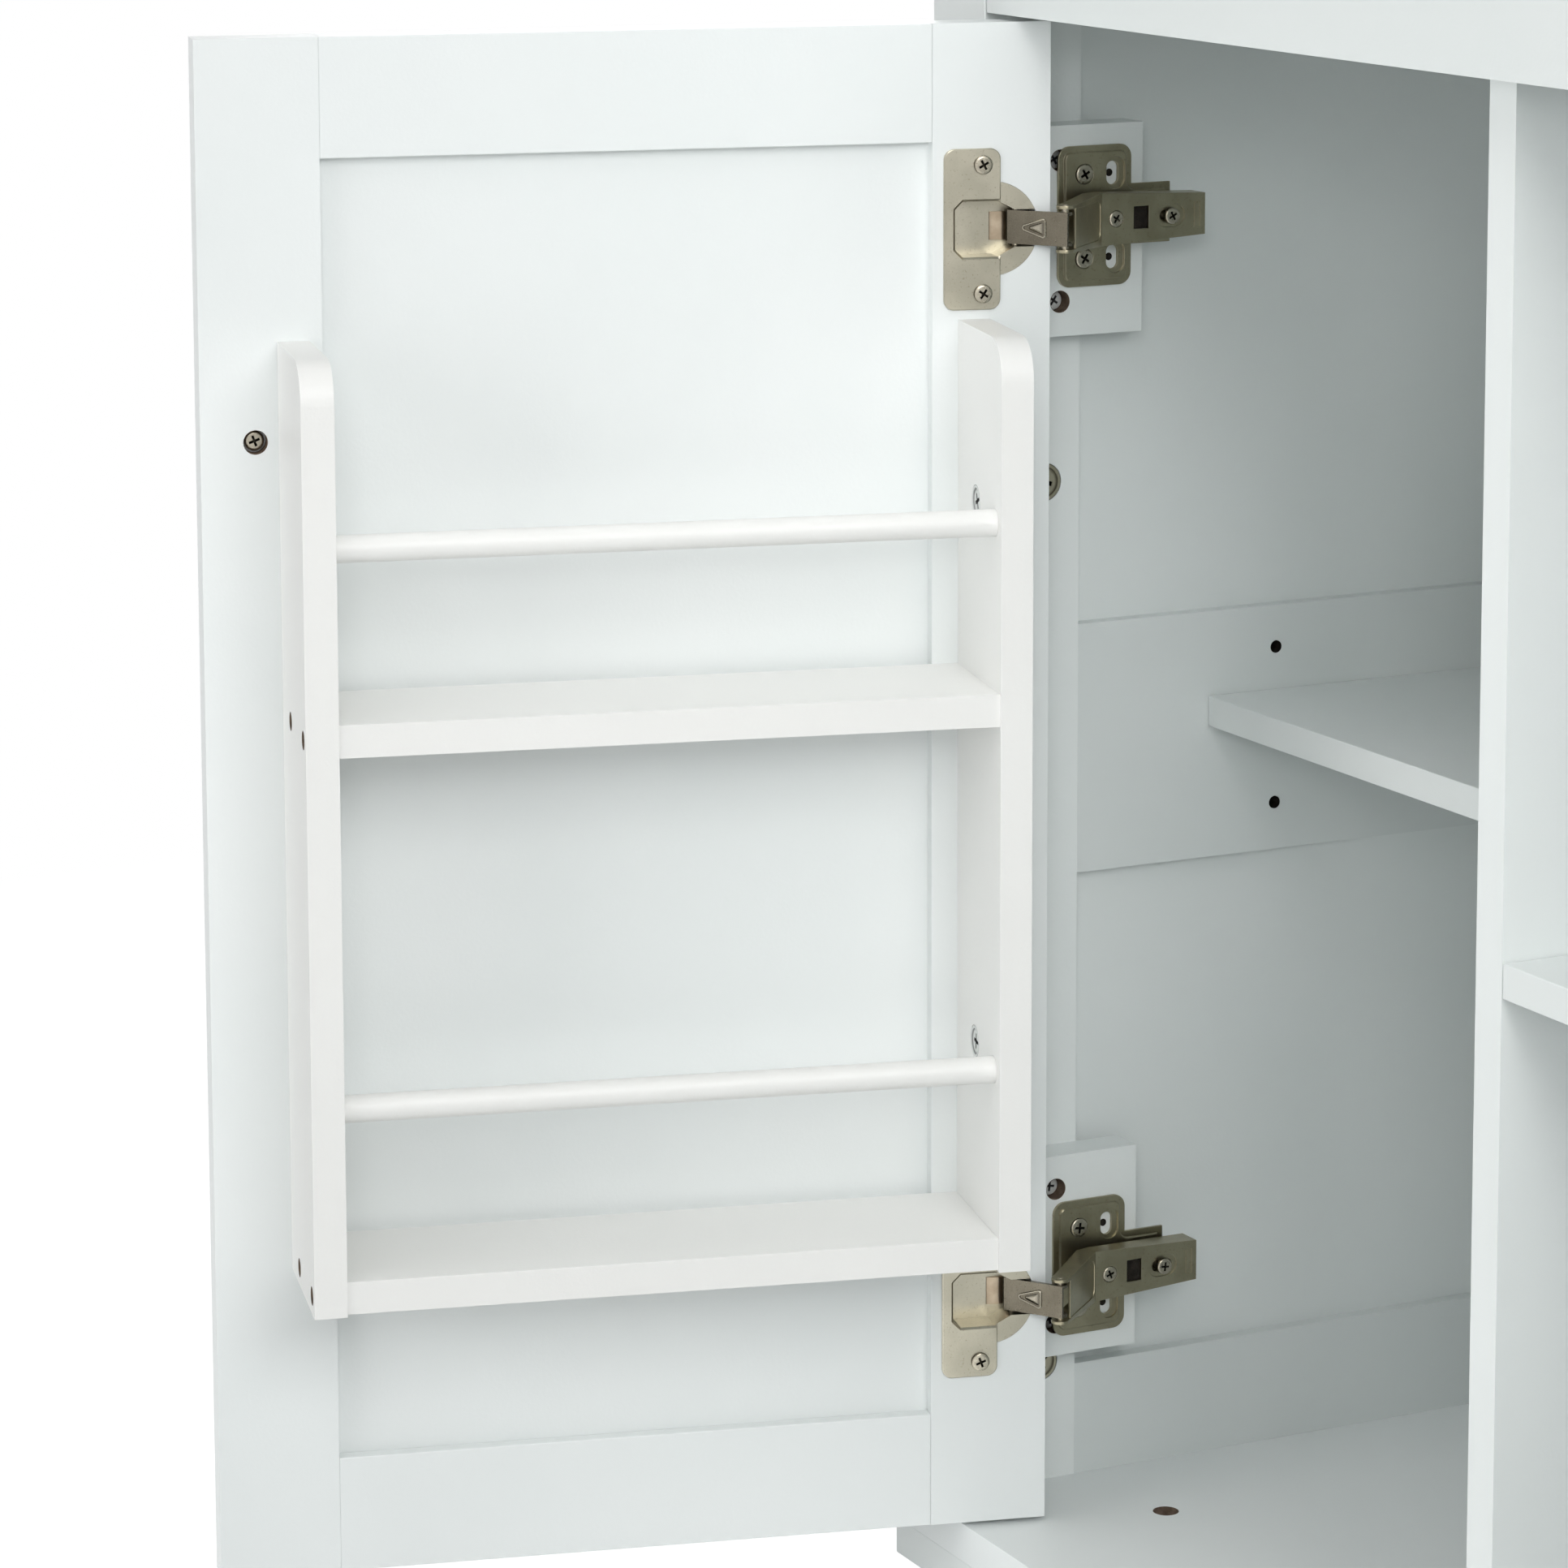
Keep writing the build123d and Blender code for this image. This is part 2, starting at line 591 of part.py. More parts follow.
plate_screw_x = plate_front + plate_screw_inset
plate_slot_x = plate_screw_x + plate_slot_offset
plate_tongue_end = plate_front + plate_depth + plate_tongue_depth
rail_centre = (plate_front + plate_slot_x + plate_depth + plate_corner) / 2 + plate_corner
for which, z in hinge_heights.items():
    block_z = block_centres[which]
    with BuildPart() as hinge_block:
        with BuildSketch(side_plane(-wall, 1)):
            with Locations((block_front + block_depth / 2, block_z)):
                Rectangle(block_depth, block_height)
        extrude(amount=block_thickness)
        with BuildSketch(block_plane(block_z)):
            with Locations((block_gap + block_screw_inset, 0)):
                with GridLocations(0, block_screw_spacing, 1, 2):
                    Circle(block_screw_diameter / 2 + pin_clearance)
        extrude(amount=-block_thickness, mode=Mode.SUBTRACT)
        with BuildSketch(block_plane(block_z)):
            with Locations((block_gap + block_screw_inset, 0)):
                with GridLocations(0, block_screw_spacing, 1, 2):
                    Circle(block_counterbore_diameter / 2)
        extrude(amount=-block_counterbore_depth, mode=Mode.SUBTRACT)
        with BuildSketch(block_plane(z)):
            with Locations((plate_screw_x, 0)):
                with GridLocations(0, plate_screw_spacing, 1, 2):
                    Circle(plate_screw_diameter / 2 + pin_clearance)
        extrude(amount=-block_thickness, mode=Mode.SUBTRACT)
    hinge_block.part.label = f"hinge_block_{which}"
    export_step(hinge_block.part, f"parts/hinge_block_{which}.step")

    with BuildPart() as hinge_plate:
        for inset, height in ((0, plate_border_thickness), (plate_border, plate_thickness)):
            with BuildSketch(block_plane(z)) as outline:
                with Locations((plate_front + plate_depth / 2, 0)):
                    RectangleRounded(plate_depth - 2 * inset, plate_height - 2 * inset, plate_corner - inset)
                with Locations((plate_tongue_end - inset - plate_tongue_depth / 2 - plate_corner, 0)):
                    Rectangle(plate_tongue_depth + 2 * plate_corner, plate_tongue_height - 2 * inset)
                inner_corners = outline.vertices().filter_by(
                    lambda corner: abs(corner.X - (plate_front + plate_depth - inset)) < pin_clearance
                    and abs(corner.Y) < plate_tongue_height / 2
                )
                fillet(inner_corners, radius=plate_inner_corner)
            extrude(amount=height)
        chamfer(hinge_plate.faces().sort_by(Axis.X)[-1].edges(), length=plate_field_chamfer)
        with BuildSketch(block_plane(z)):
            with Locations((rail_centre, 0)):
                Rectangle(plate_depth + plate_slot_offset, plate_rail_height)
        extrude(amount=plate_rail_rise)
        with BuildSketch(block_plane(z)):
            with Locations((plate_screw_x, 0)):
                with GridLocations(0, plate_screw_spacing, 1, 2):
                    Circle(plate_screw_diameter / 2 + pin_clearance)
            with Locations((plate_slot_x, 0)):
                with GridLocations(0, plate_screw_spacing, 1, 2):
                    SlotOverall(plate_slot_length, plate_slot_width, rotation=90)
        extrude(amount=plate_thickness, mode=Mode.SUBTRACT)
        with BuildSketch(block_plane(z).offset(plate_thickness / 2)):
            with Locations((plate_screw_x, 0)):
                with GridLocations(0, plate_screw_spacing, 1, 2):
                    Circle(plate_screw_head / 2 + 2 * cup_fit)
        extrude(amount=plate_thickness / 2, mode=Mode.SUBTRACT)
        with BuildSketch(block_plane(z).offset(plate_thickness)):
            with Locations((plate_slot_x + slot_dish_shift, 0)):
                with GridLocations(0, plate_screw_spacing, 1, 2):
                    SlotOverall(slot_dish_length, slot_dish_width, rotation=90)
        extrude(amount=-slot_dish_depth, mode=Mode.SUBTRACT)
    hinge_plate.part.label = f"hinge_plate_{which}"
    export_step(hinge_plate.part, f"parts/hinge_plate_{which}.step")

    with BuildPart() as arm_hollow:
        with BuildSketch(Plane.XY.offset(z - arm_crank_height)):
            with BuildLine():
                Polyline(
                    plan(arm_rear - tail_out * arm_sheet + tail * arm_rise),
                    plan(inner_crank),
                    plan(arm_nose + slope_in * arm_sheet),
                    plan(arm_nose - slope_in * arm_sheet),
                    plan(arm_nose - slope_in * arm_sheet + slope * arm_rise),
                    plan(arm_nose + slope_in * arm_rise + slope * arm_rise),
                    plan(skirt_point + slope_in * arm_rise),
                    plan(arm_rear - tail_out * arm_rise * 2 + tail * arm_rise),
                    close=True,
                )
            make_face()
        extrude(amount=2 * arm_crank_height)
        with BuildSketch(side_plane(block_face, 1)):
            with BuildLine():
                Polyline(
                    (arm_rear.Y + arm_rise, z - arm_rear_height / 2 + arm_sheet),
                    (arm_rear.Y, z - arm_rear_height / 2 + arm_sheet),
                    (crank.Y, z - arm_crank_height / 2 + arm_sheet),
                    (arm_nose.Y, z - arm_nose_height / 2 + arm_sheet),
                    (arm_nose.Y - 2 * arm_rise, z - arm_nose_height / 2 + arm_sheet),
                    (arm_nose.Y - 2 * arm_rise, z + arm_nose_height / 2 - arm_sheet),
                    (arm_nose.Y, z + arm_nose_height / 2 - arm_sheet),
                    (crank.Y, z + arm_crank_height / 2 - arm_sheet),
                    (arm_rear.Y, z + arm_rear_height / 2 - arm_sheet),
                    (arm_rear.Y + arm_rise, z + arm_rear_height / 2 - arm_sheet),
                    close=True,
                )
            make_face()
        extrude(amount=4 * arm_rise, both=True, mode=Mode.INTERSECT)

    with BuildPart() as hinge_arm:
        with BuildSketch(Plane.XY.offset(z - arm_crank_height / 2)):
            with BuildLine():
                Polyline(
                    plan(arm_rear),
                    plan(crank),
                    plan(arm_nose),
                    plan(arm_pivot - slope_in * arm_ear_radius),
                    plan(skirt_front),
                    plan(skirt_point),
                    plan(arm_rear - tail_out * arm_flange_depth),
                    close=True,
                )
            make_face()
            with Locations(plan(arm_pivot)):
                Circle(arm_ear_radius)
        extrude(amount=arm_crank_height)
        with BuildSketch(side_plane(block_face, 1)):
            with BuildLine():
                Polyline(
                    (arm_rear.Y, z - arm_rear_height / 2),
                    (crank.Y, z - arm_crank_height / 2),
                    (arm_nose.Y, z - arm_nose_height / 2),
                    (arm_nose.Y - arm_rise, z - arm_nose_height / 2),
                    (arm_nose.Y - arm_rise, z + arm_nose_height / 2),
                    (arm_nose.Y, z + arm_nose_height / 2),
                    (crank.Y, z + arm_crank_height / 2),
                    (arm_rear.Y, z + arm_rear_height / 2),
                    close=True,
                )
            make_face()
        extrude(amount=4 * arm_rise, both=True, mode=Mode.INTERSECT)
        add(arm_hollow.part, mode=Mode.SUBTRACT)
        with BuildSketch(Plane.XY.offset(z - arm_crank_height / 2)):
            with Locations(plan(arm_pivot)):
                Circle(pin_radius + pin_clearance)
        extrude(amount=arm_crank_height, mode=Mode.SUBTRACT)
        with BuildSketch(arm_face(z)):
            with Locations((adjust_screw_back, 0)):
                Circle(arm_screw_head / 2 + cup_fit)
            with Locations((window_back, 0)):
                Rectangle(window_size, window_height)
            with Locations((lock_screw_back, 0)):
                SlotOverall(plate_slot_length, arm_screw_diameter + 2 * cup_fit)
        extrude(amount=-2 * arm_sheet, mode=Mode.SUBTRACT)
        with BuildSketch(arm_face(z)):
            with Locations((lock_screw_back, 0)):
                SlotOverall(lock_dish_length, lock_dish_width)
        extrude(amount=-lock_dish_depth, mode=Mode.SUBTRACT)
        with BuildSketch(arm_face(z)):
            with Locations(*[(back, 0) for back in line_backs]):
                Rectangle(line_width, line_length)
        extrude(amount=-line_depth, mode=Mode.SUBTRACT)
        with BuildSketch(Plane(origin=crank + Vector(0, 0, z), x_dir=slope, z_dir=slope_in * -1)):
            with Locations((nose_dish_start + arm_length / 2, 0)):
                RectangleRounded(arm_length, nose_dish_height, nose_dish_corner)
        extrude(amount=-nose_dish_depth, mode=Mode.SUBTRACT)
    hinge_arm.part.label = f"hinge_arm_{which}"
    export_step(hinge_arm.part, f"parts/hinge_arm_{which}.step")

with BuildPart() as block_screws:
    for z in block_centres.values():
        seat = block_plane(z).offset(-block_counterbore_depth)
        with BuildSketch(seat):
            with Locations((block_gap + block_screw_inset, 0)):
                with GridLocations(0, block_screw_spacing, 1, 2):
                    Circle(block_screw_head / 2)
        extrude(amount=wood_screw_head_height)
        with BuildSketch(seat):
            with Locations((block_gap + block_screw_inset, 0)):
                with GridLocations(0, block_screw_spacing, 1, 2):
                    Circle(block_screw_diameter / 2)
        extrude(amount=-block_screw_length)
block_screws.part.label = "block_screws"
export_step(block_screws.part, "parts/block_screws.step")

with BuildPart() as plate_screws:
    for z in hinge_heights.values():
        seat = block_plane(z).offset(plate_thickness / 2)
        with BuildSketch(seat):
            with Locations((plate_screw_x, 0)):
                with GridLocations(0, plate_screw_spacing, 1, 2):
                    Circle(plate_screw_head / 2)
        extrude(amount=plate_screw_head_rise)
        with BuildSketch(seat):
            with Locations((plate_screw_x, 0)):
                with GridLocations(0, plate_screw_spacing, 1, 2):
                    Circle(plate_screw_diameter / 2)
        extrude(amount=-plate_screw_length)
plate_screws.part.label = "plate_screws"
export_step(plate_screws.part, "parts/plate_screws.step")

with BuildPart() as arm_screws:
    for z in hinge_heights.values():
        with BuildSketch(block_plane(z).offset(plate_rail_rise)):
            with Locations((crank.Y - post_back + adjust_screw_back, 0)):
                Circle(arm_screw_head / 2)
        extrude(amount=arm_rise - plate_rail_rise)
        with BuildSketch(block_plane(z).offset(plate_rail_rise)):
            with Locations((crank.Y - post_back + lock_screw_back, 0)):
                Circle(arm_screw_diameter / 2)
        extrude(amount=arm_rise - plate_rail_rise)
        with BuildSketch(block_plane(z).offset(arm_rise - arm_sheet / 2)):
            with Locations((crank.Y - post_back + lock_screw_back, 0)):
                Circle(arm_screw_head / 2)
        extrude(amount=plate_screw_head_rise)
arm_screws.part.label = "arm_screws"
export_step(arm_screws.part, "parts/arm_screws.step")

with BuildPart() as arm_pins:
    for z in hinge_heights.values():
        with BuildSketch(Plane.XY.offset(z - arm_nose_height / 2 - 2 * cup_fit)):
            with Locations(plan(arm_pivot)):
                Circle(pin_radius)
        extrude(amount=arm_nose_height + 4 * cup_fit)
arm_pins.part.label = "arm_pins"
export_step(arm_pins.part, "parts/arm_pins.step")

# ---------------------------------------------------------------- hinge links
with BuildPart() as hinge_links:
    for z in hinge_heights.values():
        base = link_plan.offset(z - link_width / 2)
        with BuildSketch(base):
            with Locations((link_length / 2 + link_end / 2 + cup_fit, link_waist / 2 - link_face_offset)):
                Rectangle(link_length + link_end - 2 * cup_fit, link_waist)
            with Locations((0, 0), (link_length, 0)):
                Circle(link_ear_radius)
            with Locations((0, -link_face_offset / 2), (link_length, -link_face_offset / 2)):
                Rectangle(2 * link_end, link_face_offset)
        extrude(amount=link_width)
        with BuildSketch(base.offset(link_sheet)):
            with Locations((link_length / 2, link_sheet)):
                Rectangle(2 * link_length, 2 * link_face_offset)
        extrude(amount=link_width - 2 * link_sheet, mode=Mode.SUBTRACT)
        with BuildSketch(base):
            with Locations((0, 0), (link_length, 0)):
                Circle(pin_radius + pin_clearance)
        extrude(amount=link_width, mode=Mode.SUBTRACT)
        for rim, reach, mode in ((0, drop_rim_height, Mode.ADD), (drop_rim, -drop_depth, Mode.SUBTRACT)):
            with BuildSketch(link_face(z, drop_rim_height if rim else 0)) as drop:
                with BuildLine():
                    Polyline(
                        (drop_start + 2 * rim, 0),
                        (drop_start + drop_length - rim, rim - drop_width / 2),
                        (drop_start + drop_length - rim, drop_width / 2 - rim),
                        close=True,
                    )
                make_face()
                fillet(drop.vertices(), radius=drop_corner - rim / 2)
            extrude(amount=reach - (drop_rim_height if rim else 0), mode=mode)
hinge_links.part.label = "hinge_links"
export_step(hinge_links.part, "parts/hinge_links.step")

# ---------------------------------------------------------------- door
cup_heights = tuple(hinge_heights.values())
knob_z = floor_top + knob_rise
knob_u = door_width - knob_inset
rail_u0 = door_stile_width
rail_u1 = door_width - door_stile_width
rack_z0 = hinge_heights["lower"] + flange_height / 2 + rack_gap_low
rack_height = hinge_heights["upper"] - flange_height / 2 - rack_gap_high - rack_z0
rack_length = door_width - rack_near - rack_far_margin

with BuildPart() as door_stiles:
    with BuildSketch(door_face()):
        with Locations((door_width / 2, door_low + door_height / 2)):
            with GridLocations(door_width - door_stile_width, 0, 2, 1):
                Rectangle(door_stile_width, door_height)
    extrude(amount=door_thickness)
    with BuildSketch(door_face(-door_panel_recess)):
        with Locations((door_width / 2, door_low + door_height / 2)):
            Rectangle(rail_u1 - rail_u0 + 2 * panel_tongue, door_height - 2 * door_rail_width)
    extrude(amount=door_panel_thickness, mode=Mode.SUBTRACT)
    with BuildSketch(door_face()):
        with Locations(*[(cup_inset, z) for z in cup_heights]):
            Circle(cup_diameter / 2 + cup_fit)
    extrude(amount=cup_depth, mode=Mode.SUBTRACT)
    with BuildSketch(door_face()):
        with Locations(*[(cup_inset + cup_screw_offset, z) for z in cup_heights]):
            with GridLocations(0, cup_screw_spacing, 1, 2):
                Circle(cup_screw_diameter / 2 + pin_clearance)
    extrude(amount=cup_screw_length, mode=Mode.SUBTRACT)
    with BuildSketch(door_face()):
        with Locations((knob_u, knob_z)):
            Circle(knob_screw_diameter / 2 + cup_fit)
    extrude(amount=door_thickness, mode=Mode.SUBTRACT)
    with BuildSketch(door_face()):
        with Locations((knob_u, knob_z)):
            Circle(knob_bore_diameter / 2)
    extrude(amount=knob_bore_depth, mode=Mode.SUBTRACT)
door_stiles.part.label = "door_stiles"
export_step(door_stiles.part, "parts/door_stiles.step")

with BuildPart() as door_rails:
    with BuildSketch(door_face()):
        with Locations((door_width / 2, door_low + door_height / 2)):
            with GridLocations(0, door_height - door_rail_width, 1, 2):
                Rectangle(rail_u1 - rail_u0, door_rail_width)
    extrude(amount=door_thickness)
    with BuildSketch(door_face(-door_panel_recess)):
        with Locations((door_width / 2, door_low + door_height / 2)):
            Rectangle(rail_u1 - rail_u0, door_height - 2 * door_rail_width + 2 * panel_tongue)
    extrude(amount=door_panel_thickness, mode=Mode.SUBTRACT)
door_rails.part.label = "door_rails"
export_step(door_rails.part, "parts/door_rails.step")

with BuildPart() as door_panel:
    with BuildSketch(door_face(-door_panel_recess)):
        with Locations((door_width / 2, door_low + door_height / 2)):
            Rectangle(rail_u1 - rail_u0 + 2 * panel_tongue, door_height - 2 * door_rail_width)
            Rectangle(rail_u1 - rail_u0, door_height - 2 * door_rail_width + 2 * panel_tongue)
    extrude(amount=door_panel_thickness)
door_panel.part.label = "door_panel"
export_step(door_panel.part, "parts/door_panel.step")

# ---------------------------------------------------------------- hinge cups
cup_screw_u = cup_inset + cup_screw_offset
for which, z in hinge_heights.items():
    with BuildPart() as hinge_cup:
        with BuildSketch(door_face()):
            with Locations((cup_inset, z)):
                Circle(cup_diameter / 2)
        extrude(amount=cup_depth)
        with BuildSketch(door_face(flange_thickness)):
            with Locations((cup_inset + flange_offset, z)):
                RectangleRounded(flange_width, flange_height, flange_corner)
        extrude(amount=flange_thickness)
        flange_top = hinge_cup.faces().sort_by(lambda face: (face.center() - door_corner).dot(inward))[-1]
        chamfer(flange_top.edges(), length=flange_chamfer)
        with BuildSketch(door_face(flange_thickness)):
            with BuildLine():
                Polyline(
                    (slot_near, z - slot_height / 2),
                    (pocket_near, z - pocket_height / 2),
                    (pocket_far - pocket_chamfer, z - pocket_height / 2),
                    (pocket_far, z - pocket_height / 2 + pocket_chamfer),
                    (pocket_far, z + pocket_height / 2 - pocket_chamfer),
                    (pocket_far - pocket_chamfer, z + pocket_height / 2),
                    (pocket_near, z + pocket_height / 2),
                    (slot_near, z + slot_height / 2),
                    close=True,
                )
            make_face()
            with Locations((slot_near / 2, z)):
                Rectangle(slot_near, slot_height)
        extrude(amount=flange_thickness + pocket_depth, mode=Mode.SUBTRACT)
        flange_top = hinge_cup.faces().sort_by(lambda face: (face.center() - door_corner).dot(inward))[-1]
        pocket_edges = flange_top.edges().filter_by(
            lambda edge: abs(edge.center().Z - z) < pocket_height / 2 + pin_clearance
            and (edge.center() - door_corner).dot(along) < pocket_far + pin_clearance
        )
        chamfer(pocket_edges, length=pocket_roll)
        with BuildSketch(door_face(flange_thickness)):
            with Locations((cup_screw_u, z)):
                with GridLocations(0, cup_screw_spacing, 1, 2):
                    Circle(cup_screw_diameter / 2 + pin_clearance)
        extrude(amount=flange_thickness, mode=Mode.SUBTRACT)
        with BuildSketch(door_plan.offset(z - cup_diameter / 2)):
            with Locations((cup_pin_inset, -cup_pivot_depth)):
                Circle(pin_radius + pin_clearance)
        extrude(amount=cup_diameter, mode=Mode.SUBTRACT)
    hinge_cup.part.label = f"hinge_cup_{which}"
    export_step(hinge_cup.part, f"parts/hinge_cup_{which}.step")

with BuildPart() as cup_pins:
    for z in cup_heights:
        with BuildSketch(door_plan.offset(z - pocket_height / 2)):
            with Locations((cup_pin_inset, -cup_pivot_depth)):
                Circle(pin_radius)
        extrude(amount=pocket_height)
cup_pins.part.label = "cup_pins"
export_step(cup_pins.part, "parts/cup_pins.step")

with BuildPart() as cup_screws:
    for z in cup_heights:
        for offset in (-cup_screw_spacing / 2, cup_screw_spacing / 2):
            with BuildSketch(door_face(flange_thickness + cup_screw_head_rise)):
                with Locations((cup_screw_u, z + offset)):
                    Circle(cup_screw_head / 2)
            extrude(amount=cup_screw_head_rise)
            with BuildSketch(door_face(flange_thickness)):
                with Locations((cup_screw_u, z + offset)):
                    Circle(cup_screw_diameter / 2)
            extrude(amount=cup_screw_length)
cup_screws.part.label = "cup_screws"
export_step(cup_screws.part, "parts/cup_screws.step")

# ---------------------------------------------------------------- rack on the door
rack_shelf_z = [rack_z0 + rack_shelf_lift + n * rack_pitch for n in range(2)]
rod_z = [z + rack_shelf_thickness + rod_rise for z in rack_shelf_z]
screw_z = [z + rack_shelf_thickness / 2 for z in rack_shelf_z]
rack_cam_z = [z + rack_cam_rise for z in rack_shelf_z]
rod_h = rack_depth - rod_inset
rack_screw_places = (rack_screw_back, rack_screw_front)
inner_u0 = rack_near + rack_side_thickness
inner_u1 = rack_near + rack_length - rack_side_thickness
for which, u0, hollow_u, way in (("near", rack_near, inner_u0, -1), ("far", inner_u1, inner_u1, 1)):
    with BuildPart() as rack_side:
        with BuildSketch(door_section(u0)):
            with Locations((rack_depth / 2, rack_z0 + rack_height / 2)):
                Rectangle(rack_depth, rack_height)
        extrude(amount=rack_side_thickness)
        top_edges = rack_side.edges().group_by(Axis.Z)[-1]
        front_edge = top_edges.sort_by(lambda edge: (edge.center() - door_corner).dot(inward))[-1]
        fillet(front_edge, radius=rack_corner)
        with BuildSketch(door_section(hollow_u)):
            with Locations(*[(rod_h, z) for z in rod_z]):
                Circle(rod_diameter / 2 + rod_fit)
        extrude(amount=way * rod_socket, mode=Mode.SUBTRACT)
        with BuildSketch(door_section(hollow_u)):
            with Locations(*[(rack_cam_inset, z) for z in rack_cam_z]):
                Circle(rack_cam_diameter / 2 + rod_fit)
        extrude(amount=way * rack_cam_depth, mode=Mode.SUBTRACT)
        with BuildSketch(door_section(u0)):
            with Locations(*[(h, z) for h in rack_screw_places for z in screw_z]):
                Circle(rack_screw_diameter / 2 + pin_clearance)
        extrude(amount=rack_side_thickness, mode=Mode.SUBTRACT)
        with BuildSketch(door_section(u0 if way < 0 else u0 + rack_side_thickness)):
            with Locations(*[(h, z) for h in rack_screw_places for z in screw_z]):
                Circle(rack_screw_head / 2 + 2 * rod_fit)
        extrude(amount=-way * rack_counterbore, mode=Mode.SUBTRACT)
    rack_side.part.label = f"rack_side_{which}"
    export_step(rack_side.part, f"parts/rack_side_{which}.step")

screw_grip = rack_screw_length - rack_side_thickness + rack_counterbore
rack_shelf_depth = rack_depth - rack_shelf_setback
for which, z in (("lower", rack_shelf_z[0]), ("upper", rack_shelf_z[1])):
    with BuildPart() as rack_shelf:
        with BuildSketch(door_section(inner_u0)):
            with Locations((rack_shelf_depth / 2, z + rack_shelf_thickness / 2)):
                Rectangle(rack_shelf_depth, rack_shelf_thickness)
        extrude(amount=inner_u1 - inner_u0)
        for u, way in ((inner_u0, 1), (inner_u1, -1)):
            with BuildSketch(door_section(u)):
                with Locations(*[(h, z + rack_shelf_thickness / 2) for h in rack_screw_places]):
                    Circle(rack_screw_diameter / 2 + pin_clearance)
            extrude(amount=way * (screw_grip + front_gap), mode=Mode.SUBTRACT)
    rack_shelf.part.label = f"rack_shelf_{which}"
    export_step(rack_shelf.part, f"parts/rack_shelf_{which}.step")

with BuildPart() as rack_rods:
    with BuildSketch(door_section(inner_u0 - rod_socket + rod_fit)):
        with Locations(*[(rod_h, z) for z in rod_z]):
            Circle(rod_diameter / 2)
    extrude(amount=inner_u1 - inner_u0 + 2 * (rod_socket - rod_fit))
rack_rods.part.label = "rack_rods"
export_step(rack_rods.part, "parts/rack_rods.step")

with BuildPart() as rack_cam_locks:
    for u, way in ((inner_u0, -1), (inner_u1, 1)):
        with BuildSketch(door_section(u)):
            with Locations(*[(rack_cam_inset, z) for z in rack_cam_z]):
                Circle(rack_cam_diameter / 2)
        extrude(amount=way * rack_cam_depth)
rack_cam_locks.part.label = "rack_cam_locks"
export_step(rack_cam_locks.part, "parts/rack_cam_locks.step")

with BuildPart() as rack_screws:
    for u, way in ((rack_near + rack_counterbore, 1), (rack_near + rack_length - rack_counterbore, -1)):
        for h in rack_screw_places:
            with BuildSketch(door_section(u)):
                with Locations(*[(h, z) for z in screw_z]):
                    Circle(rack_screw_head / 2)
            extrude(amount=-way * wood_screw_head_height)
            with BuildSketch(door_section(u)):
                with Locations(*[(h, z) for z in screw_z]):
                    Circle(rack_screw_diameter / 2)
            extrude(amount=way * rack_screw_length)
rack_screws.part.label = "rack_screws"
export_step(rack_screws.part, "parts/rack_screws.step")

# ---------------------------------------------------------------- door knob's screw
with BuildPart() as door_knob_screw:
    with BuildSketch(door_face(-knob_bore_depth)):
        with Locations((knob_u, knob_z)):
            Circle(knob_screw_diameter / 2)
    extrude(amount=door_thickness - knob_bore_depth + knob_screw_engagement)
    with BuildSketch(door_face(-knob_bore_depth + knob_screw_head_rise)):
        with Locations((knob_u, knob_z)):
            Circle(knob_screw_head / 2)
    extrude(amount=knob_screw_head_rise)
door_knob_screw.part.label = "door_knob_screw"
export_step(door_knob_screw.part, "parts/door_knob_screw.step")

# ---------------------------------------------------------------- drawer
packer_inside = post_inside
box_outside = packer_inside - runner_thickness
box_low = drawer_low + drawer_side_drop
box_front = post_front + drawer_front_thickness
box_back = box_front + drawer_length
drawer_front_width = 2 * (post_inside - drawer_side_gap)
drawer_knob_z = drawer_low + drawer_front_height / 2
knob_bore_rest = drawer_front_thickness - knob_bore_depth
bottom_low = box_low + drawer_bottom_rise
groove_outside = box_outside - drawer_side_thickness + drawer_groove

with BuildPart() as drawer_front:
    with BuildSketch(Plane.XY.offset(drawer_low)):
        with Locations((0, post_front + drawer_front_thickness / 2)):
            Rectangle(drawer_front_width, drawer_front_thickness)
    extrude(amount=drawer_front_height)
    with BuildSketch(Plane.XY.offset(bottom_low)):
        with Locations((0, box_front - drawer_groove / 2)):
            Rectangle(2 * groove_outside, drawer_groove)
    extrude(amount=drawer_bottom_thickness, mode=Mode.SUBTRACT)
    with BuildSketch(Plane.XZ.offset(-box_front)):
        with Locations((0, drawer_knob_z)):
            with GridLocations(drawer_knob_spacing, 0, 2, 1):
                Circle(knob_screw_diameter / 2 + cup_fit)
    extrude(amount=drawer_front_thickness, mode=Mode.SUBTRACT)
    with BuildSketch(Plane.XZ.offset(-box_front)):
        with Locations((0, drawer_knob_z)):
            with GridLocations(drawer_knob_spacing, 0, 2, 1):
                Circle(knob_bore_diameter / 2)
    extrude(amount=knob_bore_depth, mode=Mode.SUBTRACT)
drawer_front.part.label = "drawer_front"
export_step(drawer_front.part, "parts/drawer_front.step")

with BuildPart() as drawer_sides:
    with BuildSketch(Plane.XY.offset(box_low)):
        with Locations((0, (box_front + box_back) / 2)):
            with GridLocations(2 * box_outside - drawer_side_thickness, 0, 2, 1):
                Rectangle(drawer_side_thickness, drawer_length)
    extrude(amount=drawer_side_height)
    with BuildSketch(Plane.XY.offset(bottom_low)):
        with Locations((0, (box_front + box_back) / 2)):
            Rectangle(2 * groove_outside, drawer_length)
    extrude(amount=drawer_bottom_thickness, mode=Mode.SUBTRACT)
drawer_sides.part.label = "drawer_sides"
export_step(drawer_sides.part, "parts/drawer_sides.step")

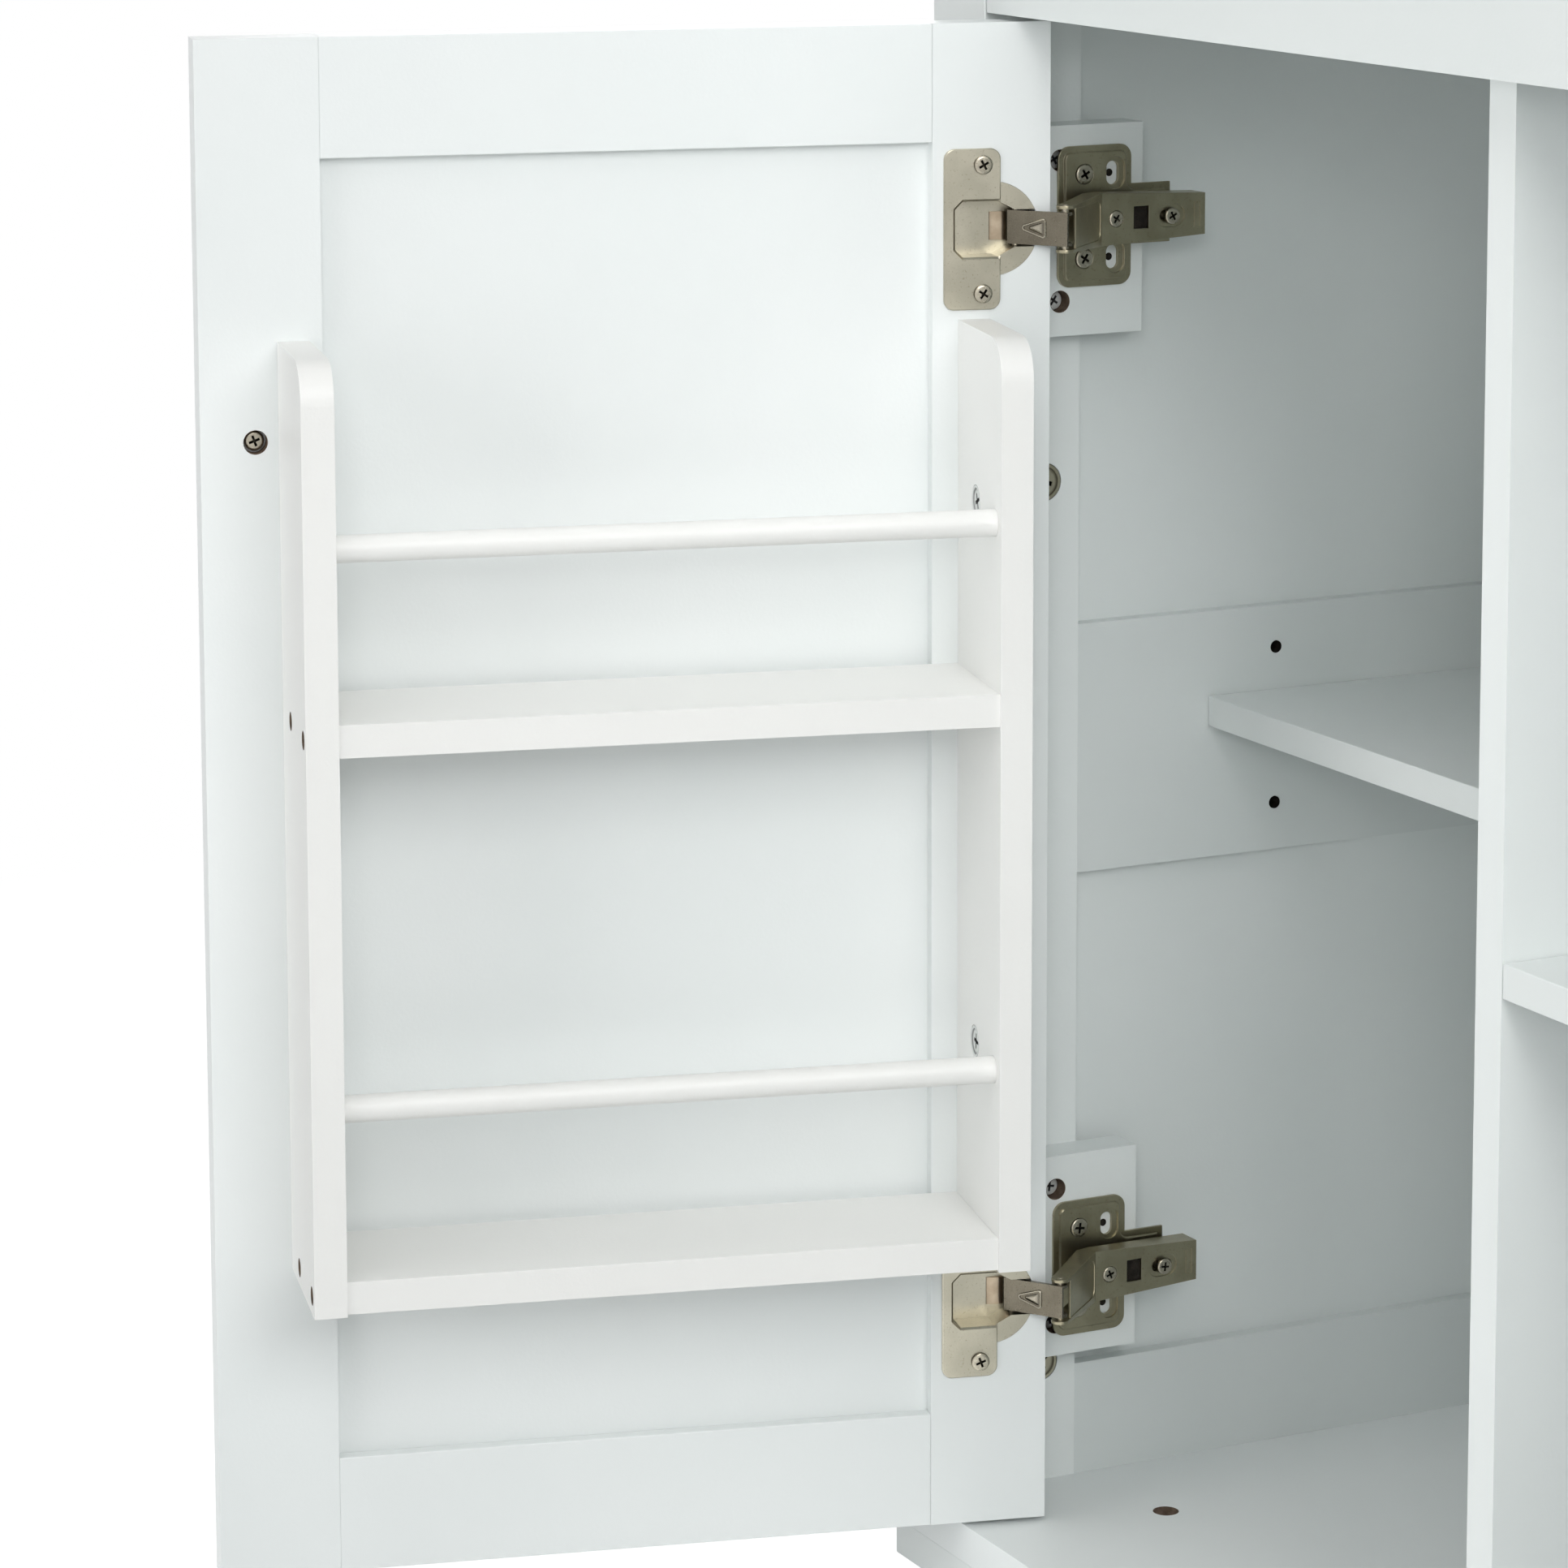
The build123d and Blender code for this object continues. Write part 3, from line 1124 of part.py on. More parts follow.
with BuildPart() as drawer_back:
    with BuildSketch(Plane.XY.offset(box_low)):
        with Locations((0, box_back - drawer_side_thickness / 2)):
            Rectangle(2 * (box_outside - drawer_side_thickness), drawer_side_thickness)
    extrude(amount=drawer_side_height)
    with BuildSketch(Plane.XY.offset(bottom_low)):
        with Locations((0, box_back - drawer_side_thickness / 2)):
            Rectangle(2 * box_outside, drawer_side_thickness)
    extrude(amount=drawer_bottom_thickness, mode=Mode.SUBTRACT)
drawer_back.part.label = "drawer_back"
export_step(drawer_back.part, "parts/drawer_back.step")

with BuildPart() as drawer_bottom:
    with BuildSketch(Plane.XY.offset(bottom_low)):
        with Locations((0, (box_front - drawer_groove + box_back) / 2)):
            Rectangle(2 * groove_outside, drawer_length + drawer_groove)
    extrude(amount=drawer_bottom_thickness)
drawer_bottom.part.label = "drawer_bottom"
export_step(drawer_bottom.part, "parts/drawer_bottom.step")

knob_head_height = knob_height - knob_neck_height
door_knob_face = Plane(
    origin=door_plan.from_local_coords(Vector(knob_u, -door_thickness, knob_z)), x_dir=along, z_dir=-inward
)
drawer_knob_faces = [
    Plane(origin=(x, post_front, drawer_knob_z), x_dir=(1, 0, 0), z_dir=(0, -1, 0))
    for x in (-drawer_knob_spacing / 2, drawer_knob_spacing / 2)
]
for knob_name, faces in (("door_knob", [door_knob_face]), ("drawer_knobs", drawer_knob_faces)):
    with BuildPart() as knobs:
        for face in faces:
            with BuildSketch(face):
                Circle(knob_neck_diameter / 2)
            extrude(amount=knob_neck_height)
            with BuildSketch(face.offset(knob_neck_height)):
                Circle(knob_diameter / 2)
            extrude(amount=knob_head_height)
        circles = knobs.edges().filter_by(GeomType.CIRCLE)
        rims = circles.filter_by(lambda edge: edge.radius > knob_neck_diameter)
        chamfer(rims, length=knob_chamfer)
        for face in faces:
            with BuildSketch(face):
                Circle(knob_screw_diameter / 2 + pin_clearance)
            extrude(amount=knob_screw_engagement + front_gap, mode=Mode.SUBTRACT)
    knobs.part.label = knob_name
    export_step(knobs.part, f"parts/{knob_name}.step")

with BuildPart() as drawer_knob_screws:
    seat = Plane.XZ.offset(-(box_front - knob_bore_depth))
    with BuildSketch(seat):
        with Locations((0, drawer_knob_z)):
            with GridLocations(drawer_knob_spacing, 0, 2, 1):
                Circle(knob_screw_diameter / 2)
    extrude(amount=knob_bore_rest + knob_screw_engagement)
    with BuildSketch(seat):
        with Locations((0, drawer_knob_z)):
            with GridLocations(drawer_knob_spacing, 0, 2, 1):
                Circle(knob_screw_head / 2)
    extrude(amount=-knob_screw_head_rise)
drawer_knob_screws.part.label = "drawer_knob_screws"
export_step(drawer_knob_screws.part, "parts/drawer_knob_screws.step")

# ---------------------------------------------------------------- drawer runners
runner_z = drawer_low + runner_rise
with BuildPart() as runner_packers:
    with BuildSketch(Plane.XY.offset(runner_z - packer_height / 2)):
        with Locations((0, (post_back + back_front) / 2)):
            with GridLocations(wall + packer_inside, 0, 2, 1):
                Rectangle(wall - packer_inside, back_front - post_back)
    extrude(amount=packer_height)
runner_packers.part.label = "runner_packers"
export_step(runner_packers.part, "parts/runner_packers.step")

runner_specs = (
    ("outer_runners", packer_inside, -1, post_back + runner_start, runner_height, runner_depth),
    ("inner_runners", box_outside, 1, box_front, inner_runner_height, inner_runner_depth),
)
for runner_name, face_x, outwards, y0, height, depth in runner_specs:
    with BuildPart() as runners:
        for sign in (-1, 1):
            way = sign * outwards
            with BuildSketch(side_plane(sign * face_x, way)):
                with Locations((way * (y0 + drawer_length / 2), runner_z)):
                    Rectangle(drawer_length, height)
            extrude(amount=depth)
            with BuildSketch(side_plane(sign * face_x + way * runner_sheet, way)):
                with Locations((way * (y0 + drawer_length / 2), runner_z)):
                    Rectangle(drawer_length, height - 2 * runner_sheet)
            extrude(amount=depth, mode=Mode.SUBTRACT)
    runners.part.label = runner_name
    export_step(runners.part, f"parts/{runner_name}.step")
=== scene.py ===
# %% [markdown]
# # A white storage cabinet with a rack on its door
#
# The cabinet is a painted fibreboard carcass with two bays, a framed door on two concealed cup hinges,
# a rack of shelves and rods on the door's inside and one wide drawer. The solids come from the packed
# model, which is loaded as a fixed frame. This notebook gives every board, screw and pressed steel part
# its finish, and replaces the parts whose real surface is softer than a plain solid.

import json
from math import cos, pi, radians, sin

import bpy
import numpy as np
from mathutils import Matrix, Vector


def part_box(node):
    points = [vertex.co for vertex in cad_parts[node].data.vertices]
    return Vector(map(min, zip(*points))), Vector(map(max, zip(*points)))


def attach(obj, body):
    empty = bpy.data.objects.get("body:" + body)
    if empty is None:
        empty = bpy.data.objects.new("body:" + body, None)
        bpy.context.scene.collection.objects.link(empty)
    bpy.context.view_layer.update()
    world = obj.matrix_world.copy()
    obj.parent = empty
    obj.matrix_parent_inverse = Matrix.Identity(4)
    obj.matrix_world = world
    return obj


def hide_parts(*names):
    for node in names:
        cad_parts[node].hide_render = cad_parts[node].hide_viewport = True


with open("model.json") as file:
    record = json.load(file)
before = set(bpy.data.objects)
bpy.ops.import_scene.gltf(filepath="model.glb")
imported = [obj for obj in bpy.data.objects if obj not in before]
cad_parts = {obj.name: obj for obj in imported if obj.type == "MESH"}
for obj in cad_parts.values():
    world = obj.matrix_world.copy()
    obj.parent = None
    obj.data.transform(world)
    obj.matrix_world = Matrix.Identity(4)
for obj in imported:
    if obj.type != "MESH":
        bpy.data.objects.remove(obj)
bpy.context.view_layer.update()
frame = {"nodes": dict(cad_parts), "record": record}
nodes = frame["nodes"]
slot_of = {part["node"]: part["material_slot"] for part in frame["record"]["subparts"]}
MM = 0.001
for stored in list(bpy.data.materials):
    bpy.data.materials.remove(stored)

# %% [markdown]
# ## The camera
#
# The camera stands to the right of the cabinet and looks across the open door into the left bay. Its
# turn is written as three angles about a level start: yaw about the vertical, pitch down and a little
# roll. The long lens is shifted, so that the view is the lower left part of a larger one.

# %% Camera
YAW, PITCH, ROLL = radians(64.607), radians(8.137), radians(0.347)
CAMERA_PLACE = (1.4227, -1.1416, 0.7559)


def camera_turn(yaw, pitch, roll):
    """Camera axes as matrix columns: the level right-hand axis, the axis above it and the axis back."""
    ahead = Vector((-sin(yaw) * cos(pitch), cos(yaw) * cos(pitch), -sin(pitch)))
    level = Vector((cos(yaw), sin(yaw), 0.0))
    down = ahead.cross(level)
    right = level * cos(roll) + down * sin(roll)
    up = level * sin(roll) - down * cos(roll)
    return Matrix((right, up, -ahead)).transposed().to_4x4()


camera_data = bpy.data.cameras.new("camera")
camera_data.sensor_width = 36.0
camera_data.lens = 122.2
camera_data.shift_x = 0.0760
camera_data.shift_y = -0.2606
camera_data.clip_start = 0.05
camera_data.clip_end = 60.0
camera = bpy.data.objects.new("camera", camera_data)
camera.matrix_world = Matrix.Translation(CAMERA_PLACE) @ camera_turn(YAW, PITCH, ROLL)
bpy.context.scene.collection.objects.link(camera)
bpy.context.scene.camera = camera
bpy.context.scene.view_settings.view_transform = "Standard"
print("camera lens", camera_data.lens, "mm")

# %% [markdown]
# ## Studio world
#
# The world gives a faint cool fill. Rays from the camera, from gloss and through glass see plain white
# instead, which keeps the background white and puts bright reflections into the steel.

# %% World
WHITE = (1.0, 1.0, 1.0, 1.0)
FILL, FILL_STRENGTH = (0.93, 0.985, 1.0, 1.0), 0.02


def sees_background(tree):
    """1 where a ray comes straight from the camera, off a gloss surface or through glass."""
    path = tree.nodes.new("ShaderNodeLightPath")
    total = tree.nodes.new("ShaderNodeMath")
    total.operation = "ADD"
    tree.links.new(path.outputs["Is Camera Ray"], total.inputs[0])
    tree.links.new(path.outputs["Is Transmission Ray"], total.inputs[1])
    either = tree.nodes.new("ShaderNodeMath")
    either.operation = "ADD"
    either.use_clamp = True
    tree.links.new(total.outputs[0], either.inputs[0])
    tree.links.new(path.outputs["Is Glossy Ray"], either.inputs[1])
    return either.outputs[0]


world = bpy.data.worlds.new("studio")
bpy.context.scene.world = world
world.use_nodes = True
tree = world.node_tree
tree.nodes.clear()
soft_fill = tree.nodes.new("ShaderNodeBackground")
soft_fill.inputs["Color"].default_value = FILL
soft_fill.inputs["Strength"].default_value = FILL_STRENGTH
backdrop = tree.nodes.new("ShaderNodeBackground")
backdrop.inputs["Color"].default_value = WHITE
backdrop.inputs["Strength"].default_value = 1.0
choose = tree.nodes.new("ShaderNodeMixShader")
out = tree.nodes.new("ShaderNodeOutputWorld")
tree.links.new(sees_background(tree), choose.inputs[0])
tree.links.new(soft_fill.outputs[0], choose.inputs[1])
tree.links.new(backdrop.outputs[0], choose.inputs[2])
tree.links.new(choose.outputs[0], out.inputs["Surface"])
print("world fill:", FILL_STRENGTH)

# %% [markdown]
# ## Lamps
#
# A white product is lit by large soft lamps, so that its edges show by gentle shade and not by hard
# shadows. Most stand in front and to the right, and two stand behind for the back and the left side.
# One small lamp with a narrow spread lifts the open door. Two lamps are hidden from gloss rays, so that
# the flat steel links don't mirror them.

# %% Lamps
def lamp(name, place, target, size, watts, spread=180.0, glossy=True):
    """A square area lamp at place, turned towards target. The spread is in degrees, and gloss rays see the
    lamp where it is glossy."""
    data = bpy.data.lights.new(name, "AREA")
    data.size = size
    data.energy = watts
    data.spread = radians(spread)
    item = bpy.data.objects.new(name, data)
    item.matrix_world = (
        Matrix.Translation(place)
        @ (Vector(target) - Vector(place)).to_track_quat("-Z", "Y").to_matrix().to_4x4()
    )
    item.visible_glossy = glossy
    bpy.context.scene.collection.objects.link(item)


for name, place, target, size, watts in (
    ("right_high", (1.5, -0.9, 1.7), (-0.3, -0.3, 0.35), 1.2, 3.0),
    ("right_side", (1.7, -0.45, 1.35), (-0.3, -0.3, 0.4), 0.9, 18.0),
    ("high_front", (0.7, -1.3, 2.2), (-0.25, -0.2, 0.35), 1.2, 10.0),
    ("overhead", (-0.2, -0.6, 2.9), (-0.2, -0.3, 0.4), 1.6, 11.5),
    ("rear_left", (-2.3, 1.3, 1.3), (-0.2, 0.1, 0.4), 1.8, 28.0),
    ("rear_right", (1.6, 2.4, 0.9), (0.0, 0.2, 0.4), 1.8, 24.0),
):
    lamp(name, place, target, size, watts)
lamp("front_low", (-0.2, -2.6, 0.6), (-0.2, 0.0, 0.35), 1.8, 26.0, glossy=False)
lamp("door_beam", (1.6, -1.3, 1.0), (-0.2, -0.1, 0.4), 0.5, 0.3, spread=30.0, glossy=False)
print("lamps:", len(bpy.data.lights))

# %% [markdown]
# ## Floor
#
# The floor takes the cabinet's shadow close by and fades to plain white further out, so no horizon shows.

# %% Floor
FLOOR_HALF = 30.0
FLOOR_TONE, FLOOR_GLOW = (0.86, 0.87, 0.87, 1.0), 0.72
FADE_START, FADE_END = 0.7, 1.6
floor_data = bpy.data.meshes.new("floor")
floor_data.from_pydata(
    [(x * FLOOR_HALF, y * FLOOR_HALF, 0.0) for x, y in ((-1, -1), (1, -1), (1, 1), (-1, 1))],
    [], [(0, 1, 2, 3)],
)
floor = bpy.data.objects.new("floor", floor_data)
bpy.context.scene.collection.objects.link(floor)
floor_paint = bpy.data.materials.new("studio_floor")
floor_paint.use_nodes = True
tree = floor_paint.node_tree
tree.nodes.clear()
matt = tree.nodes.new("ShaderNodeBsdfDiffuse")
matt.inputs["Color"].default_value = FLOOR_TONE
glow = tree.nodes.new("ShaderNodeEmission")
glow.inputs["Strength"].default_value = FLOOR_GLOW
near = tree.nodes.new("ShaderNodeAddShader")
white = tree.nodes.new("ShaderNodeEmission")
place = tree.nodes.new("ShaderNodeTexCoord")
distance = tree.nodes.new("ShaderNodeVectorMath")
distance.operation = "LENGTH"
fade = tree.nodes.new("ShaderNodeMapRange")
fade.inputs["From Min"].default_value = FADE_START
fade.inputs["From Max"].default_value = FADE_END
faded = tree.nodes.new("ShaderNodeMixShader")
seen = tree.nodes.new("ShaderNodeMixShader")
out = tree.nodes.new("ShaderNodeOutputMaterial")
tree.links.new(matt.outputs[0], near.inputs[0])
tree.links.new(glow.outputs[0], near.inputs[1])
tree.links.new(sees_background(tree), seen.inputs[0])
tree.links.new(matt.outputs[0], seen.inputs[1])
tree.links.new(place.outputs["Object"], distance.inputs[0])
tree.links.new(distance.outputs["Value"], fade.inputs["Value"])
tree.links.new(fade.outputs["Result"], faded.inputs[0])
tree.links.new(near.outputs[0], faded.inputs[1])
tree.links.new(white.outputs[0], faded.inputs[2])
tree.links.new(faded.outputs[0], seen.inputs[2])
tree.links.new(seen.outputs[0], out.inputs["Surface"])
floor_data.materials.append(floor_paint)
print("the floor fades to white from", FADE_START, "to", FADE_END, "m")

# %% [markdown]
# ## Shared effects
#
# Several finishes need the same effects: a slow change of tone over a surface, a fine relief such as the
# skin of sprayed paint or the grain of a plated pressing, and shade painted into a recess. Each is a shader
# node group with named inputs, built once and placed in each material with its own values.

# %% Node groups
def new_group(name, inputs, outputs):
    """An empty shader group: inputs are (name, socket type, start) and outputs (name, socket type)."""
    group = bpy.data.node_groups.new(name, "ShaderNodeTree")
    for title, kind, start in inputs:
        socket = group.interface.new_socket(title, in_out="INPUT", socket_type=kind)
        socket.default_value = start
    for title, kind in outputs:
        group.interface.new_socket(title, in_out="OUTPUT", socket_type=kind)
    return group, group.nodes.new("NodeGroupInput"), group.nodes.new("NodeGroupOutput")


FLOAT, COLOUR = "NodeSocketFloat", "NodeSocketColor"


def tone_group():
    """Colour mixed towards a second tone where a slow cloud of noise on Object coordinates is high."""
    group, given, result = new_group(
        "slow_tone",
        [("Tone", COLOUR, WHITE), ("Second tone", COLOUR, WHITE), ("Scale", FLOAT, 6.0),
         ("Low", FLOAT, 0.4), ("High", FLOAT, 0.6)],
        [("Colour", COLOUR)],
    )
    place = group.nodes.new("ShaderNodeTexCoord")
    cloud = group.nodes.new("ShaderNodeTexNoise")
    cloud.inputs["Detail"].default_value = 4.0
    span = group.nodes.new("ShaderNodeMapRange")
    mix = group.nodes.new("ShaderNodeMix")
    mix.data_type = "RGBA"
    link = group.links.new
    link(place.outputs["Object"], cloud.inputs["Vector"])
    link(given.outputs["Scale"], cloud.inputs["Scale"])
    link(cloud.outputs["Fac"], span.inputs["Value"])
    link(given.outputs["Low"], span.inputs["From Min"])
    link(given.outputs["High"], span.inputs["From Max"])
    link(span.outputs["Result"], mix.inputs["Factor"])
    link(given.outputs["Tone"], mix.inputs["A"])
    link(given.outputs["Second tone"], mix.inputs["B"])
    link(mix.outputs["Result"], result.inputs["Colour"])
    return group


def relief_group():
    """Fine height from noise on Object coordinates, and a roughness that rises and falls with it."""
    group, given, result = new_group(
        "fine_relief",
        [("Scale", FLOAT, 900.0), ("Detail", FLOAT, 2.0), ("Roughness low", FLOAT, 0.3),
         ("Roughness high", FLOAT, 0.4)],
        [("Height", FLOAT), ("Roughness", FLOAT)],
    )
    place = group.nodes.new("ShaderNodeTexCoord")
    grain = group.nodes.new("ShaderNodeTexNoise")
    span = group.nodes.new("ShaderNodeMapRange")
    link = group.links.new
    link(place.outputs["Object"], grain.inputs["Vector"])
    link(given.outputs["Scale"], grain.inputs["Scale"])
    link(given.outputs["Detail"], grain.inputs["Detail"])
    link(grain.outputs["Fac"], span.inputs["Value"])
    link(given.outputs["Roughness low"], span.inputs["To Min"])
    link(given.outputs["Roughness high"], span.inputs["To Max"])
    link(grain.outputs["Fac"], result.inputs["Height"])
    link(span.outputs["Result"], result.inputs["Roughness"])
    return group


def painted_shade_group():
    """Painted shade: colour mixed towards a dark tone by the surface's own recess attribute."""
    group, given, result = new_group(
        "painted_recess_shade", [("Tone", COLOUR, WHITE), ("Shade", COLOUR, WHITE)], [("Colour", COLOUR)]
    )
    share = group.nodes.new("ShaderNodeAttribute")
    share.attribute_name = "recess"
    mix = group.nodes.new("ShaderNodeMix")
    mix.data_type = "RGBA"
    link = group.links.new
    link(share.outputs["Fac"], mix.inputs["Factor"])
    link(given.outputs["Tone"], mix.inputs["A"])
    link(given.outputs["Shade"], mix.inputs["B"])
    link(mix.outputs["Result"], result.inputs["Colour"])
    return group


SLOW_TONE, FINE_RELIEF, PAINTED_RECESS_SHADE = tone_group(), relief_group(), painted_shade_group()
print("groups:", SLOW_TONE.name, FINE_RELIEF.name, PAINTED_RECESS_SHADE.name)

# %% [markdown]
# ## A maker of finishes
#
# Every finish is one Principled material. Its colour drifts slowly between two tones, a fine relief moves
# its roughness and its bump together, and it may carry specks of a third tone and shade painted into its
# recesses.

# %% Material makers
def finish(
    name, tone, second, metallic, rough, grain, depth, slow=6.0, specks=None, shade=None, gloss=0.5
):
    """A Principled material: slow change between two tones, specks of a third and shade painted into
    recesses where asked, and fine relief in roughness and bump. Specks give a tone, a scale and the noise
    levels between which they set in. The shade is the dark tone of that painted shade."""
    material = bpy.data.materials.new(name)
    material.use_nodes = True
    tree = material.node_tree
    shader = tree.nodes["Principled BSDF"]
    shader.inputs["Metallic"].default_value = metallic
    shader.inputs["Specular IOR Level"].default_value = gloss
    tones = tree.nodes.new("ShaderNodeGroup")
    tones.node_tree = SLOW_TONE
    tones.inputs["Tone"].default_value = (*tone, 1.0)
    tones.inputs["Second tone"].default_value = (*second, 1.0)
    tones.inputs["Scale"].default_value = slow
    relief = tree.nodes.new("ShaderNodeGroup")
    relief.node_tree = FINE_RELIEF
    relief.inputs["Scale"].default_value = grain
    relief.inputs["Roughness low"].default_value = rough[0]
    relief.inputs["Roughness high"].default_value = rough[1]
    bump = tree.nodes.new("ShaderNodeBump")
    bump.inputs["Strength"].default_value = 1.0
    bump.inputs["Distance"].default_value = depth
    link = tree.links.new
    colour = tones.outputs["Colour"]
    if specks:
        spot, scale, low, high = specks
        spots = tree.nodes.new("ShaderNodeGroup")
        spots.node_tree = SLOW_TONE
        link(colour, spots.inputs["Tone"])
        spots.inputs["Second tone"].default_value = (*spot, 1.0)
        spots.inputs["Scale"].default_value = scale
        spots.inputs["Low"].default_value = low
        spots.inputs["High"].default_value = high
        colour = spots.outputs["Colour"]
    # Painted shade: the colour darkens towards the shade tone where the recess attribute is high.
    if shade:
        dark = tree.nodes.new("ShaderNodeGroup")
        dark.node_tree = PAINTED_RECESS_SHADE
        link(colour, dark.inputs["Tone"])
        dark.inputs["Shade"].default_value = (*shade, 1.0)
        colour = dark.outputs["Colour"]
    link(colour, shader.inputs["Base Color"])
    link(relief.outputs["Roughness"], shader.inputs["Roughness"])
    link(relief.outputs["Height"], bump.inputs["Height"])
    link(bump.outputs["Normal"], shader.inputs["Normal"])
    return material


def paint(name, tone, second, rough, grain=700.0, depth=0.04 * MM):
    """Satin paint with the faint ripple of a spray."""
    return finish(name, tone, second, metallic=0.0, rough=rough, grain=grain, depth=depth)


def steel(name, tone, second, rough, slow, grain=1500.0, depth=0.03 * MM, **more):
    """Plated or cast metal: its tone changes over a centimetre or so, and its grain is very fine."""
    return finish(
        name, tone, second, metallic=1.0, rough=rough, grain=grain, depth=depth, slow=slow, **more
    )


# %% [markdown]
# ## The finishes
#
# The boards are sprayed with satin paint: nearly white, a shade cooler on the cabinet and warmer on the
# rack, with the faint ripple that spray leaves. Inside a drilled hole the brown board is bare, but the deep
# pin holes and the pilot holes are painted near-black as shade. The hinges are pressed steel under a warm,
# speckled nickel in three tones: plain, a darker bronze which is painted shade on the parts that sit in the
# bay, and darker still on the links, also painted shade.

# %% Finishes
cabinet_paint = paint("cabinet_paint", (0.80, 0.835, 0.825), (0.78, 0.82, 0.81), (0.34, 0.46))
door_paint = paint("door_paint", (0.83, 0.86, 0.855), (0.81, 0.845, 0.84), (0.32, 0.44))
# Posts and stiles painted lighter and rails darker than the panels: painted light and painted shade.
post_painted_light = paint("post_painted_light", (0.85, 0.885, 0.875), (0.83, 0.865, 0.855), (0.34, 0.46))
rail_painted_shade = paint("rail_painted_shade", (0.745, 0.78, 0.77), (0.725, 0.765, 0.755), (0.36, 0.48))
rack_paint = paint(
    "rack_paint", (0.85, 0.85, 0.83), (0.83, 0.83, 0.81), (0.36, 0.5), grain=900.0, depth=0.06 * MM
)
bare_board = finish(
    "bare_board", (0.21, 0.155, 0.115), (0.13, 0.095, 0.07), metallic=0.0, rough=(0.8, 0.95),
    grain=1600.0, depth=0.2 * MM, slow=260.0, gloss=0.1,
)
# Near-black painted shade, for deep holes and the arms' windows, where only shade shows.
painted_shade_black = finish(
    "painted_shade_black", (0.02, 0.018, 0.016), (0.03, 0.026, 0.022), metallic=0.0, rough=(0.85, 0.95),
    grain=1800.0, depth=0.2 * MM, slow=300.0, gloss=0.0,
)
# The bronze tone is the hinge nickel painted darker: painted shade on the hinge parts that sit in the bay.
hinge_bronze = steel(
    "hinge_bronze", (0.39, 0.355, 0.25), (0.325, 0.295, 0.205), (0.25, 0.40), slow=60.0, depth=0.02 * MM,
    specks=((0.24, 0.21, 0.14), 900.0, 0.60, 0.82),
)
hinge_nickel = steel(
    "hinge_nickel", (0.53, 0.495, 0.40), (0.46, 0.43, 0.345), (0.24, 0.40), slow=60.0,
    specks=((0.29, 0.25, 0.18), 1100.0, 0.60, 0.82),
)
# The links' nickel, painted much darker than the other hinge parts: painted shade.
link_nickel_painted_shade = steel(
    "link_nickel_painted_shade", (0.19, 0.17, 0.13), (0.155, 0.138, 0.105), (0.22, 0.36), slow=60.0,
    specks=((0.11, 0.095, 0.07), 1100.0, 0.60, 0.82),
)
warm_steel = steel(
    "warm_steel", (0.44, 0.36, 0.265), (0.35, 0.28, 0.20), (0.26, 0.40), slow=150.0, grain=1200.0
)
# The shade tone below is painted shade, laid into recesses by the recess attribute.
bright_steel = steel(
    "bright_steel", (0.50, 0.46, 0.37), (0.42, 0.385, 0.31), (0.22, 0.36), slow=90.0, grain=1200.0,
    depth=0.02 * MM, shade=(0.03, 0.027, 0.02),
)
# The shade tone below is painted shade in the cam face's recesses.
cam_zinc = steel(
    "cam_zinc", (0.50, 0.46, 0.35), (0.42, 0.385, 0.29), (0.30, 0.46), slow=120.0, grain=1400.0,
    depth=0.06 * MM, shade=(0.045, 0.04, 0.03),
)
# The shade tone below is painted shade in the recesses of screws and cams.
pale_zinc = finish(
    "pale_zinc", (0.72, 0.74, 0.72), (0.64, 0.66, 0.64), metallic=0.2, rough=(0.30, 0.46), grain=1400.0,
    depth=0.06 * MM, slow=120.0, shade=(0.045, 0.045, 0.045),
)
runner_steel = steel(
    "runner_steel", (0.66, 0.67, 0.68), (0.60, 0.61, 0.62), (0.25, 0.38), slow=20.0, grain=900.0,
    depth=0.02 * MM,
)
knob_nickel = steel(
    "knob_nickel", (0.46, 0.44, 0.40), (0.42, 0.40, 0.365), (0.24, 0.32), slow=30.0, depth=0.01 * MM
)
FINISHES = {
    material.name: material
    for material in (cabinet_paint, door_paint, rack_paint, hinge_bronze, hinge_nickel, bright_steel,
                     cam_zinc, runner_steel, knob_nickel)
}
print("finishes:", ", ".join(FINISHES))

# %% [markdown]
# ## Finishes on the solids
#
# A board's edge is never sharp: the paint rounds it by a few tenths of a millimetre, and that thin line
# of light is what shows where one board ends and the next begins. A Weld modifier joins the loose
# triangles of each solid, Decimate merges the flat ones and a Bevel rounds what is left. Posts, stiles and
# the divider get a lighter paint than the panels, and the side rails a darker one: painted light and
# painted shade, for the way the light falls on them.

# %% Soft edges and paint
PAINTS = ("cabinet_paint", "door_paint", "rack_paint")
PAINT_ROUND, STEEL_ROUND = 0.4 * MM, 0.25 * MM
# Hinge parts have rounds of their own, found by the node's name without its last word.
EDGE_ROUND = {"hinge": 0.08 * MM, "hinge_plate": 0.2 * MM, "hinge_arm": 0.2 * MM, "hinge_cup": 0.3 * MM}
WELD_GAP = 0.005 * MM
FLAT_ANGLE, EDGE_ANGLE = radians(1.0), radians(40.0)
EDGE_STEPS, FACE_WEIGHT = 2, 80


